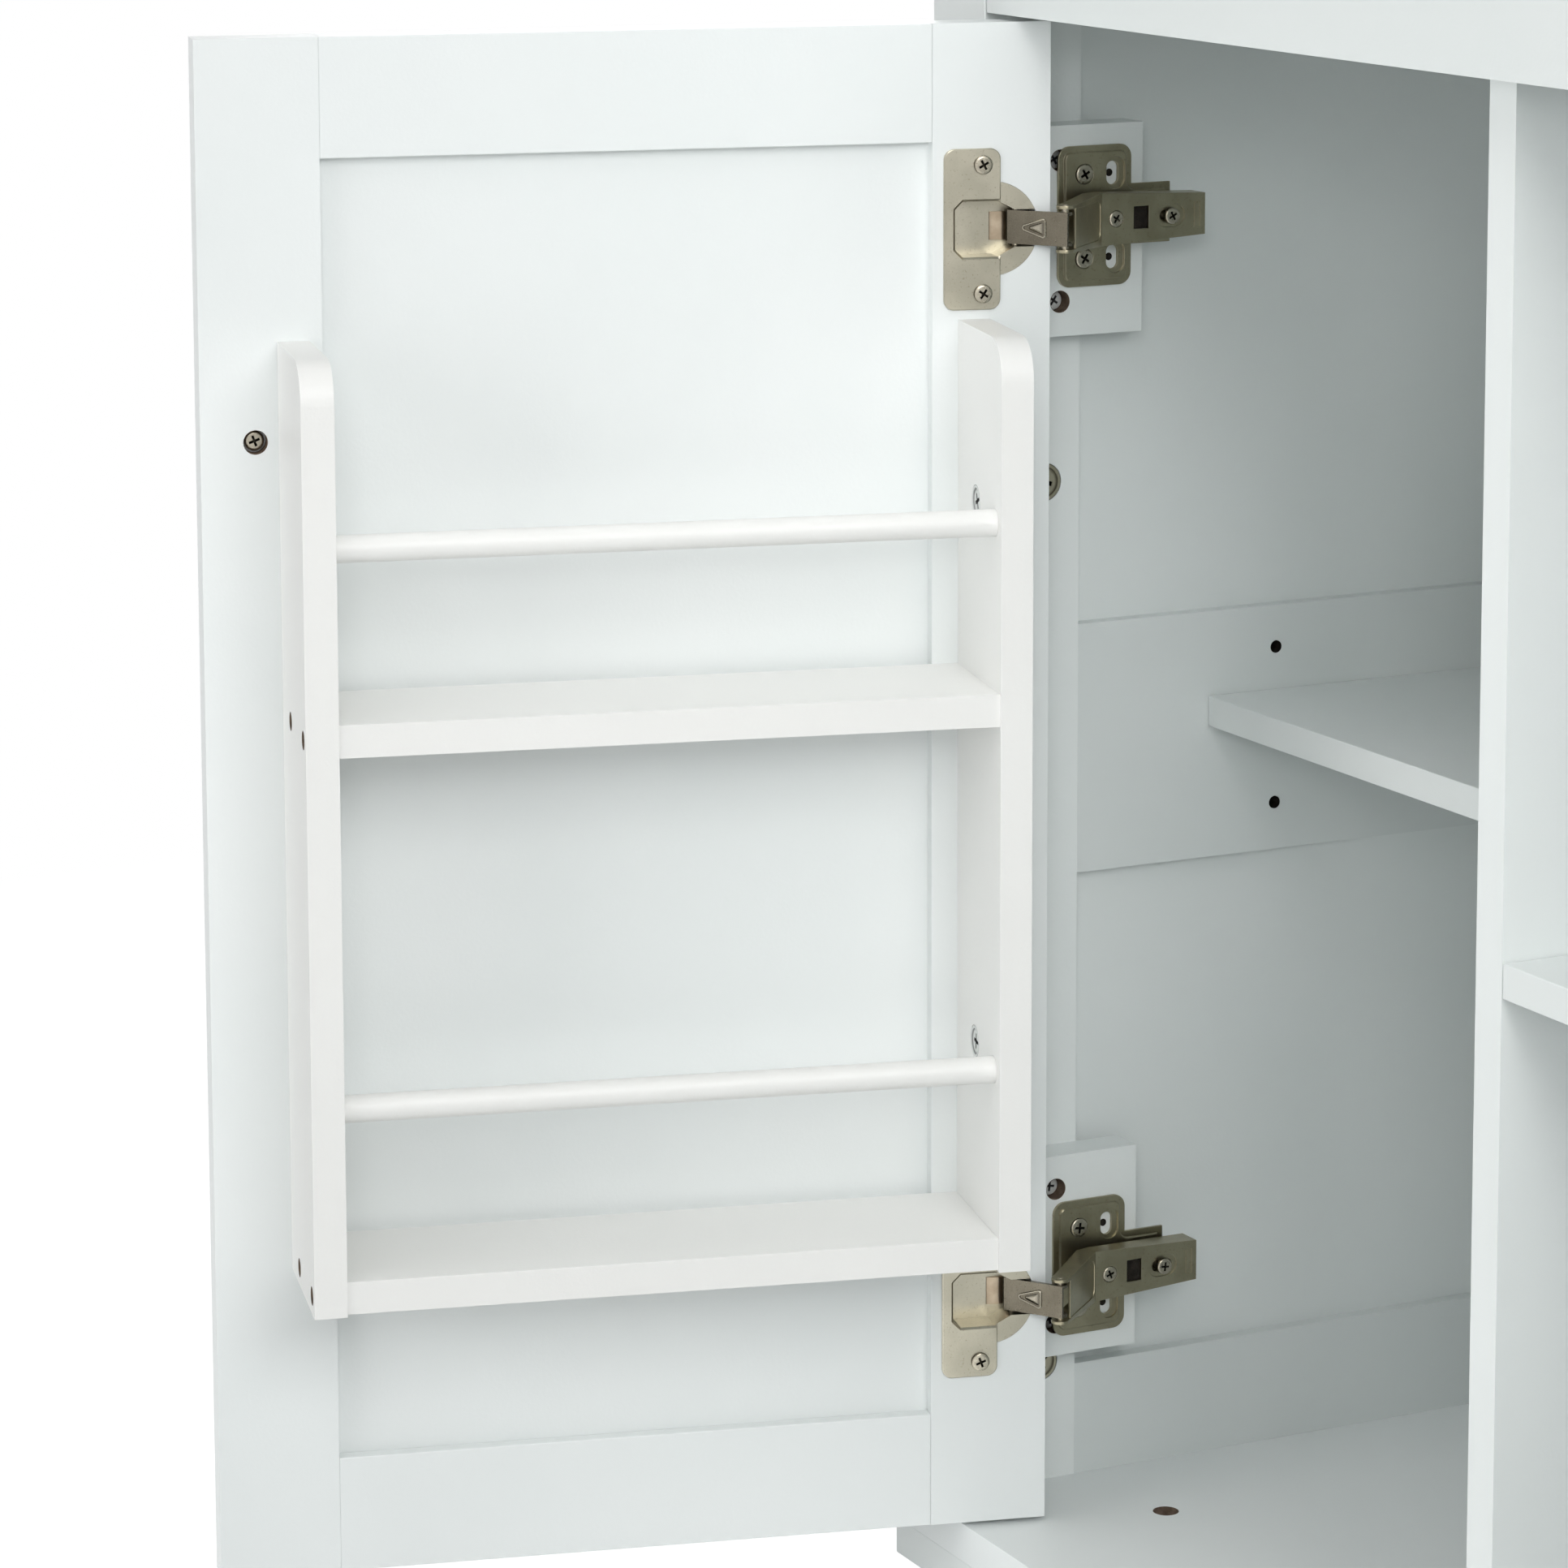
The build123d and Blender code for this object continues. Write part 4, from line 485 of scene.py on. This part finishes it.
def soften(item, width):
    """Weld, planar dissolve and an angle-limited bevel of the given width, with normals weighted to the
    large faces so that flat ones stay flat."""
    weld = item.modifiers.new("weld", "WELD")
    weld.merge_threshold = WELD_GAP
    flat = item.modifiers.new("flat", "DECIMATE")
    flat.decimate_type = "DISSOLVE"
    flat.angle_limit = FLAT_ANGLE
    edge = item.modifiers.new("edge", "BEVEL")
    edge.width = width
    edge.segments = EDGE_STEPS
    edge.limit_method = "ANGLE"
    edge.angle_limit = EDGE_ANGLE
    even = item.modifiers.new("even", "WEIGHTED_NORMAL")
    even.weight = FACE_WEIGHT
    even.keep_sharp = True


OWN_FINISH = {
    "hinge_links": link_nickel_painted_shade,
    "bottom_board": door_paint,
    "divider": post_painted_light,
    "front_posts": post_painted_light,
    "rear_posts": post_painted_light,
    "side_stiles_left": post_painted_light,
    "side_stiles_right": post_painted_light,
    "side_rails_left": rail_painted_shade,
    "side_rails_right": rail_painted_shade,
}
for name, item in nodes.items():
    item.data.materials.clear()
    item.data.materials.append(OWN_FINISH.get(name, FINISHES[slot_of[name]]))
    usual = PAINT_ROUND if slot_of[name] in PAINTS else STEEL_ROUND
    soften(item, EDGE_ROUND.get(name.rsplit("_", 1)[0], usual))
print("softened", len(nodes), "solids")

# %% [markdown]
# ## Reading places from the solids
#
# Screws, cam locks and pins are plain turned solids in the model. Each is only a cylinder or two, so its
# middle line, its ends and its radii can be measured from its own corner points. The detailed pieces below
# are then built on those measures, and move with the model if a size in it changes.

# %% Measures of turned solids
DOOR_TURN = radians(104.0)
ALONG = np.array([cos(DOOR_TURN), -sin(DOOR_TURN), 0.0])
INWARD = np.array([sin(DOOR_TURN), cos(DOOR_TURN), 0.0])
X_AXIS, Y_AXIS, Z_AXIS = np.eye(3)
STANDING_APART, FAR_APART = 6.0 * MM, 100.0 * MM      # least steps that part two solids of one node
TIP_BAND, HEAD_BAND = 0.1 * MM, 0.95                  # where the shank and the head are read


def corner_points(node):
    """Every triangle corner of a solid as an (n, 3) array in metres."""
    mesh = nodes[node].data
    flat = np.empty(3 * len(mesh.vertices))
    mesh.vertices.foreach_get("co", flat)
    return flat.reshape(-1, 3)


def apart(points, directions, gap=STANDING_APART):
    """Groups of points: sorted along each direction and cut where the step to the next is over the gap."""
    groups = [points]
    for direction in directions:
        split = []
        for group in groups:
            place = group @ direction
            order = np.argsort(place, kind="stable")
            cuts = np.flatnonzero(np.diff(place[order]) > gap) + 1
            split += [group[part] for part in np.split(order, cuts)]
        groups = split
    return groups


def turned(points, axis, side):
    """A turned solid's middle line, its ends along the axis, its radii and where its head begins."""
    third = np.cross(axis, side)
    height, a, b = points @ axis, points @ side, points @ third
    a_middle, b_middle = (a.min() + a.max()) / 2, (b.min() + b.max()) / 2
    radius = np.hypot(a - a_middle, b - b_middle)
    tip, top, head = height.min(), height.max(), radius.max()
    return {
        "middle": a_middle * side + b_middle * third,
        "axis": axis,
        "side": side,
        "tip": tip,
        "top": top,
        "head": head,
        "shank": radius[height < tip + TIP_BAND].max(),
        "under": height[radius > HEAD_BAND * head].min(),
    }


def standing(node, axis, directions):
    """Groups of a node's points, one for each turned solid: first far apart along its axis, then across."""
    rows = apart(corner_points(node), [axis], FAR_APART)
    return [group for row in rows for group in apart(row, directions)]


sample = turned(apart(corner_points("cup_screws"), [Z_AXIS])[0], INWARD, Z_AXIS)
print("a cup screw: head and shank", [round(2 * sample[key] / MM, 2) for key in ("head", "shank")], "mm")

# %% [markdown]
# ## Turned surfaces
#
# A screw head, a cam lock and the wall of a drilled hole are all rings stacked along a middle line. The
# radius of a ring may change with the turn, which is how a cross-shaped recess is cut with no boolean:
# the rings of the dome simply go on as rings shaped like a cross.

# %% Rings, skins and pieces
def stack(place, radii, heights, turns):
    """Rings: middle + height * axis + radius * (cos(turn) * side + sin(turn) * third)."""
    third = np.cross(place["axis"], place["side"])
    around = np.cos(turns)[:, None] * place["side"] + np.sin(turns)[:, None] * third
    rows = np.stack([np.broadcast_to(radius, turns.shape) for radius in radii])
    return place["middle"] + np.asarray(heights)[:, None, None] * place["axis"] + rows[..., None] * around


def skin(points, hollow=False, recess=None):
    """Points, faces and recess shares, the strength of painted shade, of rings (ring, turn, 3): quads
    between neighbours, then a fan at each end, or quads from the last ring back to the first where the
    shape is hollow right through."""
    count, around = points.shape[:2]
    shares = np.zeros(count) if recess is None else np.asarray(recess, float)
    row = np.arange(count if hollow else count - 1)[:, None] * around
    spot = np.arange(around)[None, :]
    beside = (spot + 1) % around
    above = (row + around) % (count * around)
    quads = np.stack([row + spot, row + beside, above + beside, above + spot], -1).reshape(-1, 4)
    if hollow:
        return points.reshape(-1, 3), quads, np.empty((0, 3), int), np.repeat(shares, around)
    last, spot, beside = (count - 1) * around, spot[0], beside[0]
    low = np.stack([np.full(around, count * around), beside, spot], -1)
    high = np.stack([np.full(around, count * around + 1), last + spot, last + beside], -1)
    poles = np.stack([points[0].mean(0), points[-1].mean(0)])
    shares = np.concatenate([np.repeat(shares, around), shares[[0, -1]]])
    return np.vstack([points.reshape(-1, 3), poles]), quads, np.vstack([low, high]), shares


def add_piece(name, skins, material, body, replaced=(), crease=35.0):
    """One mesh of several skins, smooth below the crease angle, riding on a body. Each point's recess
    share, the strength of its painted shade, is kept as an attribute, which the finish reads."""
    points = np.vstack([part[0] for part in skins])
    starts = np.cumsum([0] + [len(part[0]) for part in skins[:-1]])
    quads = np.vstack([part[1] + start for part, start in zip(skins, starts)])
    fans = np.vstack([part[2] + start for part, start in zip(skins, starts)])
    data = bpy.data.meshes.new(name)
    data.from_pydata(points.tolist(), [], quads.tolist() + fans.tolist())
    data.attributes.new("recess", "FLOAT", "POINT").data.foreach_set(
        "value", np.concatenate([part[3] for part in skins])
    )
    data.shade_smooth()
    data.set_sharp_from_angle(angle=radians(crease))
    data.materials.append(material)
    item = bpy.data.objects.new(name, data)
    bpy.context.scene.collection.objects.link(item)
    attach(item, body)
    if replaced:
        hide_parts(*replaced)
    return item


# %% [markdown]
# ## Cross-recess screws
#
# Every screw that holds the hinges, the rack and the knobs has a low domed head with a cross recess. The
# cross is an outline in polar form: straight out along an arm the radius is reach / cos, and beside the
# arm it is half the arm's width / sin, whichever is less. The screws stop at different turns, as driven
# screws do.

# %% Screws
# Reach, half width, depth and radii are shares of the head's radius, and the point's radius is a share of
# the shank's. Drops are measured from the top, as shares of the head's height or of the cross's depth. The
# last list gives each ring's share of painted shade: down the head's side, where it meets the surface
# below, and in the cross.
CROSS_REACH, CROSS_HALF, CROSS_DEPTH = 0.58, 0.13, 0.36
POINT = 0.3
HEAD_HEIGHT = 2.2 * MM
HEAD_RADII = np.array([0.95, 1.0, 1.0, 0.985, 0.94, 0.86, 0.74])
HEAD_DROPS = np.array([1.0, 0.88, 0.4, 0.22, 0.10, 0.035, 0.0])
CROSS_SIZES = np.array([1.0, 0.94, 0.8, 0.45])
CROSS_DROPS = np.array([0.0, 0.12, 0.6, 1.0])
HEAD_PAINTED_SHADE = [0, 0, 0, 1, 1, 0.7, 0, 0, 0, 0, 0, 1, 1, 1]
FIRST_TURN, NEXT_TURN = 0.35, 1.1      # radians: where the first screw of a row stops, and each after it
RACK_FIRST_TURN, RACK_NEXT_TURN = 0.5, 0.9


def cross_turns(reach, half):
    """Turns of a full circle that include each corner of the cross: its arm ends and its inner corners."""
    end = np.arctan2(half, reach)
    octant = np.concatenate([[0.0], np.linspace(end, pi / 4, 4)])
    quarter = np.concatenate([octant, pi / 2 - octant[-2:0:-1]])
    return np.concatenate([quarter + pi / 2 * n for n in range(4)])


def cross_outline(turns, reach, half):
    """Radius of the cross at each turn, measured from its nearest arm: min(reach / cos, half / sin)."""
    near = np.abs((turns + pi / 4) % (pi / 2) - pi / 4)
    return np.minimum(reach / np.cos(near), half / np.maximum(np.sin(near), 1e-9))


def twisted(place, angle):
    """The same place with its side turned about its axis: side * cos + (axis x side) * sin."""
    side = place["side"] * cos(angle) + np.cross(place["axis"], place["side"]) * sin(angle)
    return {**place, "side": side}


def cross_screw(place, angle):
    """Rings from the tip up the shank, round the head's rim, over its dome and down into the cross."""
    head, shank, tip, top = (place[key] for key in ("head", "shank", "tip", "top"))
    under = max(place["under"], top - HEAD_HEIGHT)
    cross = cross_outline(TURNS, CROSS_REACH * head, CROSS_HALF * head)
    radii = [POINT * shank, shank, shank, *(HEAD_RADII * head), *(CROSS_SIZES[:, None] * cross)]
    heights = [tip, tip + shank, under, *(top - HEAD_DROPS * (top - under)),
               *(top - CROSS_DROPS * CROSS_DEPTH * head)]
    return skin(stack(twisted(place, angle), radii, heights, TURNS), recess=HEAD_PAINTED_SHADE)


TURNS = cross_turns(CROSS_REACH, CROSS_HALF)
SCREWS = (
    ("plate_screws", "carcass", X_AXIS, [Z_AXIS], bright_steel),
    ("block_screws", "carcass", X_AXIS, [Z_AXIS], pale_zinc),
    ("arm_screws", "carcass", X_AXIS, [Z_AXIS, Y_AXIS], bright_steel),
    ("cup_screws", "door", INWARD, [Z_AXIS], bright_steel),
    ("door_knob_screw", "door", INWARD, [Z_AXIS], bright_steel),
    ("drawer_knob_screws", "drawer", Y_AXIS, [X_AXIS], bright_steel),
)
screw_places = {}
for node, body, axis, directions, metal in SCREWS:
    places = [turned(group, axis, Z_AXIS) for group in apart(corner_points(node), directions)]
    screw_places[node] = places
    skins = [cross_screw(place, FIRST_TURN + NEXT_TURN * n) for n, place in enumerate(places)]
    add_piece(node + "_cross", skins, metal, body, [node])
    print(node, len(places), "screws")

rods_along = corner_points("rack_rods") @ ALONG
middle_of_rack = (rods_along.min() + rods_along.max()) / 2
places = []
for group in standing("rack_screws", ALONG, [Z_AXIS, INWARD]):
    outwards = ALONG if (group @ ALONG).mean() > middle_of_rack else -ALONG
    places.append(turned(group, outwards, Z_AXIS))
screw_places["rack_screws"] = places
skins = [cross_screw(place, RACK_FIRST_TURN + RACK_NEXT_TURN * n) for n, place in enumerate(places)]
add_piece("rack_screws_cross", skins, pale_zinc, "door", ["rack_screws"])
print("rack_screws", len(places), "screws")

# %% [markdown]
# ## Knobs
#
# A turned knob is one profile carried round its middle line: a straight neck, a hollow curve out to the
# rim and a low dome. The dome is a quarter of an ellipse, so it meets the rim with no edge.

# %% Knobs
NECK_SHARE, RIM_SHARE, DOME_SHARE = 0.42, 0.60, 0.72      # heights along the knob, from the wood
KNOB_TURNS = np.linspace(0.0, 2 * pi, 64, endpoint=False)


def knob_surface(place):
    """Rings: neck; cove, radius = rim - (rim - neck) * cos(t); dome, rim * cos(t) wide and sin(t) high."""
    neck, rim, foot, top = (place[key] for key in ("shank", "head", "tip", "top"))
    length = top - foot
    turn = np.linspace(0.0, pi / 2, 9)
    cove = rim - (rim - neck) * np.cos(turn)
    cove_height = foot + length * (NECK_SHARE + (RIM_SHARE - NECK_SHARE) * np.sin(turn))
    dome = rim * np.cos(turn[:-1])
    dome_height = foot + length * (DOME_SHARE + (1.0 - DOME_SHARE) * np.sin(turn[:-1]))
    radii = np.concatenate([[0.5 * neck, neck], cove, dome])
    heights = np.concatenate([[foot, foot], cove_height, dome_height])
    points, quads, fans, shares = skin(stack(place, radii, heights, KNOB_TURNS))
    points[-1] = place["middle"] + top * place["axis"]
    return points, quads, fans, shares


for node, body, axis, directions in (
    ("door_knob", "door", -INWARD, []),
    ("drawer_knobs", "drawer", -Y_AXIS, [X_AXIS]),
):
    places = [turned(group, axis, Z_AXIS) for group in apart(corner_points(node), directions)]
    skins = [knob_surface(place) for place in places]
    add_piece(node + "_turned", skins, FINISHES[slot_of[node]], body, [node])
    print(node, len(places), "turned, neck", round(2 * places[0]["shank"] / MM, 1), "mm")

# %% [markdown]
# ## Cam locks
#
# A cam lock is a die-cast drum in a blind hole that draws a bolt tight. Only its face shows: a raised rim,
# a sunk field and a deep cross for the screwdriver. The same rings make it, with a flatter profile.

# %% Cam locks
# Reach, half width and radii are shares of the drum's radius. The last list gives each ring's share of
# painted shade: round the drum below its rim, at the foot of the rim in the sunk field, and in the cross.
CAM_REACH, CAM_HALF = 0.52, 0.13
CAM_FOOT, CAM_EDGE, CAM_FIELD = 0.3 * MM, 0.25 * MM, 0.5 * MM
CAM_RADII = np.array([0.97, 1.0, 1.0, 0.96, 0.84, 0.80, 0.64])
CAM_CROSS_SIZES = np.array([1.0, 0.95, 0.82])
CAM_CROSS_DROPS = np.array([0.0, 0.3, 2.7]) * MM
CAM_PAINTED_SHADE = [0, 0, 1, 0, 0, 0.8, 0, 0, 1, 1]
SIDE_FIRST_TURN, SIDE_NEXT_TURN = 0.6, 0.7      # radians, as for the screws
SHELF_FIRST_TURN, SHELF_NEXT_TURN = 1.5, 0.5


def cam_face(place, angle):
    """Rings up the drum, over its rim, down to the sunk field and into the deep cross."""
    drum, base, top = place["head"], place["tip"], place["top"]
    cross = cross_outline(TURNS, CAM_REACH * drum, CAM_HALF * drum)
    field = top - CAM_FIELD
    radii = [*(CAM_RADII * drum), *(CAM_CROSS_SIZES[:, None] * cross)]
    heights = [base, base + CAM_FOOT, top - CAM_EDGE, top, top, field, field, *(field - CAM_CROSS_DROPS)]
    return skin(stack(twisted(place, angle), radii, heights, TURNS), recess=CAM_PAINTED_SHADE)


def cams(node, axis, directions, axis_of):
    """Places of a node's cam locks; axis_of gives the direction in which each faces."""
    return [turned(group, axis_of(group), Z_AXIS) for group in standing(node, axis, directions)]


def towards_bay(group):
    """+X for a cam in the left side frame, -X for one in the right."""
    return X_AXIS if group[:, 0].mean() < 0.0 else -X_AXIS


places = cams("side_cam_locks", X_AXIS, [Y_AXIS, Z_AXIS], towards_bay)
skins = [cam_face(place, SIDE_FIRST_TURN + SIDE_NEXT_TURN * n) for n, place in enumerate(places)]
add_piece("side_cam_faces", skins, cam_zinc, "carcass", ["side_cam_locks"])
print("side cam locks:", len(places))


def towards_middle(group):
    """Along or against the door's width, whichever points at the rack's middle."""
    return -ALONG if (group @ ALONG).mean() > middle_of_rack else ALONG


places = cams("rack_cam_locks", ALONG, [Z_AXIS], towards_middle)
skins = [cam_face(place, SHELF_FIRST_TURN + SHELF_NEXT_TURN * n) for n, place in enumerate(places)]
add_piece("rack_cam_faces", skins, pale_zinc, "door", ["rack_cam_locks"])
print("rack cam locks:", len(places))

# %% [markdown]
# ## Bare board inside the drilled holes
#
# The boards are painted before the holes are drilled, so each hole shows raw brown fibreboard. The small
# deep pin holes are lined in near-black instead, which is painted shade. A sleeve of a tenth of a
# millimetre lines the wall of each hole. Where a screw or a stud goes on through, the sleeve is open at
# both ends. A blind hole's lining has a floor.

# %% A lining
LINING, HOLE_FIT = 0.1 * MM, 0.03 * MM      # the sleeve's wall and its gap to the board
ROUND = np.linspace(0.0, 2 * pi, 32, endpoint=False)


def lining(middle, axis, side, mouth, radius, depth, blind):
    """A thin sleeve from the mouth inwards: up its outer wall, over the rim and down its inner wall, and
    across a floor where the hole is blind. The axis points out of the hole."""
    place = {"middle": middle, "axis": axis, "side": side}
    outer, inner, floor = radius - HOLE_FIT, radius - HOLE_FIT - LINING, mouth - depth
    rim = mouth - HOLE_FIT
    if blind:
        radii = [0.5 * outer, outer, outer, inner, inner, 0.5 * inner]
        heights = [floor, floor, rim, rim, floor + LINING, floor + LINING]
        return skin(stack(place, radii, heights, ROUND))
    return skin(stack(place, [outer, outer, inner, inner], [floor, rim, rim, floor], ROUND), hollow=True)


# %% [markdown]
# ## Pin holes
#
# A loose shelf lies on four pins. Above and below each pin is a spare hole, so that the shelf can be moved.
# A hole's mouth is found from the pin, which is buried in the board by a known length.

# %% Pin holes
PIN_PITCH = 31.2 * MM
PIN_HOLE_RADIUS, PIN_HOLE_DEPTH, PIN_GRIP = 2.5 * MM, 7.3 * MM, 7.0 * MM
bay_middle = np.mean(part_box("left_shelf"), 0)[0]
skins = []
for group in standing("shelf_pins", X_AXIS, [Y_AXIS, Z_AXIS]):
    centre = (group.min(0) + group.max(0)) / 2
    shelf_middle = bay_middle if centre[0] < 0.0 else -bay_middle
    out = X_AXIS if centre[0] < shelf_middle else -X_AXIS
    buried = (group @ out).min()
    for step in (-PIN_PITCH, PIN_PITCH):
        middle = centre - (centre @ out) * out + step * Z_AXIS
        skins.append(lining(middle, out, Z_AXIS, buried + PIN_GRIP, PIN_HOLE_RADIUS, PIN_HOLE_DEPTH, True))
# Near-black linings: painted shade in the deep pin holes.
add_piece("pin_hole_shade_linings", skins, painted_shade_black, "carcass")
print("pin holes:", len(skins))

# %% [markdown]
# ## Foot holes
#
# Four holes go right through the bottom board, for the stems of feet or casters. Their places are those of
# the model's own mount.

# %% Foot holes
feet = next(mount for mount in frame["record"]["mounts"] if mount["name"] == "foot_holes")["dims"]
foot_x, foot_y = feet["spacing_x_mm"] / 2 * MM, feet["spacing_y_mm"] / 2 * MM
foot_radius = feet["hole_r_mm"] * MM
board_low, board_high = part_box("bottom_board")[0][2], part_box("bottom_board")[1][2]
depth = board_high - board_low - HOLE_FIT
skins = [
    lining(np.array([x, y, 0.0]), Z_AXIS, X_AXIS, board_high, foot_radius, depth, False)
    for x in (-foot_x, foot_x) for y in (-foot_y, foot_y)
]
add_piece("foot_hole_linings", skins, bare_board, "carcass")
print("foot holes:", len(skins))

# %% [markdown]
# ## Bores for screw heads
#
# The screws of the hinge blocks, of the door's knob and of the rack sit in wider bores, a little below the
# surface. Each lining stands round its own screw.

# %% Bores for screw heads
BLOCK_BORE_RADIUS, BLOCK_BORE_DEPTH = 4.25 * MM, 6.9 * MM
block_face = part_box("hinge_block_lower")[1][0]
skins = [
    lining(place["middle"], X_AXIS, Z_AXIS, block_face, BLOCK_BORE_RADIUS, BLOCK_BORE_DEPTH, False)
    for place in screw_places["block_screws"]
]
add_piece("block_bore_linings", skins, bare_board, "carcass")
print("bores in the hinge blocks:", len(skins))

KNOB_BORE_RADIUS, KNOB_BORE_DEPTH = 4.5 * MM, 5.9 * MM
door_face = (corner_points("door_stiles") @ INWARD).max()
knob = screw_places["door_knob_screw"][0]
skins = [lining(knob["middle"], INWARD, Z_AXIS, door_face, KNOB_BORE_RADIUS, KNOB_BORE_DEPTH, False)]
add_piece("knob_bore_lining", skins, bare_board, "door")
print("bore for the knob's screw:", len(skins))

RACK_BORE_RADIUS, RACK_BORE_DEPTH = 3.5 * MM, 3.9 * MM
faces = [corner_points(node) @ ALONG for node in ("rack_side_near", "rack_side_far")]
rack_ends = {-1: -min(face.min() for face in faces), 1: max(face.max() for face in faces)}
skins = [
    lining(place["middle"], place["axis"], Z_AXIS, rack_ends[int(np.sign(place["axis"] @ ALONG))],
           RACK_BORE_RADIUS, RACK_BORE_DEPTH, False)
    for place in screw_places["rack_screws"]
]
add_piece("rack_bore_linings", skins, bare_board, "door")
print("bores in the rack's sides:", len(skins))

# %% [markdown]
# ## Pilot holes
#
# Behind each slot of a hinge plate the block has a pilot hole, which shows as a dark dot in the slot. The
# dot is a flat near-black disc on the block's face: painted shade in place of the hole.

# %% Pilot holes
PILOT_RADIUS, PILOT_LIFT = 1.45 * MM, 0.12 * MM
PILOT_SHARES, PILOT_LEVELS = np.array([1.0, 1.0, 0.9, 0.5]), np.array([0.0, 1.0, 1.0, 0.5])
PILOT_BEHIND_SCREW = 11.7 * MM
skins = []
for place in screw_places["plate_screws"]:
    disc = {"middle": place["middle"] + PILOT_BEHIND_SCREW * Y_AXIS, "axis": X_AXIS, "side": Z_AXIS}
    rings = stack(disc, PILOT_RADIUS * PILOT_SHARES, block_face + PILOT_LIFT * PILOT_LEVELS, ROUND)
    skins.append(skin(rings))
add_piece("pilot_hole_shade_discs", skins, painted_shade_black, "carcass")
print("pilot holes:", len(skins))

# %% [markdown]
# ## Window shades
#
# The window of each arm, between its two screws, opens on the shaded inside of the arm. A thin near-black
# plate stands behind it: painted shade.

# %% Window shades
SQUARE = pi / 4 + pi / 2 * np.arange(4)
SHADE_HALF, SHADE_BACK, SHADE_THICK = 5.2 * MM, 1.6 * MM, 0.3 * MM
reach = 2**0.5 * SHADE_HALF
skins = []
for front, rear in zip(screw_places["arm_screws"][::2], screw_places["arm_screws"][1::2]):
    back = rear["under"] - SHADE_BACK
    window = {**front, "middle": (front["middle"] + rear["middle"]) / 2}
    skins.append(skin(stack(window, [reach, reach], [back - SHADE_THICK, back], SQUARE)))
    print("window shade at", np.round(window["middle"] / MM, 1), "x", round((back - SHADE_THICK) / MM, 2))
add_piece("window_painted_shades", skins, painted_shade_black, "carcass")

# %% [markdown]
# ## Cup tongues
#
# In each cup a curved tongue of warm steel leads from the pocket's floor up to the link. It is a profile
# in the plane across the door, carried straight up through the tongue's height.

# %% Cup tongues
TONGUE_HALF = 5.3 * MM
TONGUE_OUTLINE = np.array([(20.8, -10.28), (20.6, -10.05), (19.6, -9.75), (18.0, -9.50), (16.4, -9.38),
                           (14.6, -9.34), (14.4, -9.50), (14.4, -10.28)]) * MM
hinge_edge = (corner_points("door_stiles") @ ALONG).min()


def tongue(height):
    """The outline (u, h) at places hinge_edge + u along the door and door_face + h above it, from one end
    of the tongue's height to the other."""
    flat = (hinge_edge + TONGUE_OUTLINE[:, :1]) * ALONG + (door_face + TONGUE_OUTLINE[:, 1:]) * INWARD
    rise = np.array([-TONGUE_HALF, TONGUE_HALF])[:, None, None]
    return flat[None, :, :] + (height + rise) * Z_AXIS


cup_boxes = [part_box("hinge_cup_lower"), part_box("hinge_cup_upper")]
hinge_heights = [(low[2] + high[2]) / 2 for low, high in cup_boxes]
skins = [skin(tongue(height)) for height in hinge_heights]
add_piece("cup_tongues", skins, warm_steel, "door", crease=50.0)
print("hinge centres at", [round(height, 4) for height in hinge_heights])

# %% [markdown]
# ## Pressed drops
#
# Each link has a drop pressed into its face: a rounded three-cornered rim with a hollow and a low crown
# inside. The link's face is found from the two pins and from the highest points between them. The corners
# are places along the link from the cup pin and across it. Each ring stands off them by its round and is
# drawn in by its share. The levels are heights from the face, and those below it are negative.

# %% Pressed drops
DROP_CORNERS = np.array([(5.4, 0.0), (12.6, -2.35), (12.6, 2.35)]) * MM
DROP_ROUNDS = np.array([1.35, 1.30, 1.05, 0.75, 0.45, 0.25, 0.25, 0.25]) * MM
DROP_SHARES = np.array([1.0, 1.0, 1.0, 1.0, 1.0, 0.95, 0.60, 0.25])
DROP_LEVELS = np.array([-0.55, -0.10, 0.16, 0.10, -0.55, -0.70, -0.30, -0.12]) * MM
# Each ring's share of painted shade: dark at the rim's outer foot and in the hollow, faint on the crest and
# the crown.
DROP_PAINTED_SHADE = [0.7, 0.3, 0.0, 0.15, 0.9, 1.0, 0.35, 0.1]
DROP_STEPS = 48
DROP_TURNS = 2 * pi * np.arange(DROP_STEPS) / DROP_STEPS
LINK_START, LINK_END = 4.5 * MM, 13.0 * MM


def drop_rings(rounds, shares):
    """Rings (ring, turn, 2) of corner + round * way, where the corner lies furthest along that way, each
    ring drawn in to a share of its size about the drop's middle."""
    ways = np.stack([np.cos(DROP_TURNS), np.sin(DROP_TURNS)], 1)
    furthest = DROP_CORNERS[np.argmax(ways @ DROP_CORNERS.T, 1)]
    rings = furthest[None] + rounds[:, None, None] * ways[None]
    middle = DROP_CORNERS.mean(0)
    return middle + shares[:, None, None] * (rings - middle)


cup_pin, arm_pin = (np.mean(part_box(node), 0) * (1, 1, 0) for node in ("cup_pins", "arm_pins"))
reach_way = (arm_pin - cup_pin) / np.linalg.norm(arm_pin - cup_pin)
face_way = np.array([reach_way[1], -reach_way[0], 0.0])
link_points = corner_points("hinge_links") - cup_pin
along_link = link_points @ reach_way
rim_top = (link_points @ face_way)[(along_link > LINK_START) & (along_link < LINK_END)].max()
plan = drop_rings(DROP_ROUNDS, DROP_SHARES)
flat = plan[..., :1] * reach_way + plan[..., 1:] * np.cross(face_way, reach_way)
rings = cup_pin + flat + (rim_top + DROP_LEVELS[:, None, None]) * face_way
skins = [skin(rings + height * Z_AXIS, recess=DROP_PAINTED_SHADE) for height in hinge_heights]
add_piece("link_drops", skins, bright_steel, "hinge_link")
print("drops stand", round(rim_top / MM, 2), "mm in front of the pins' line")
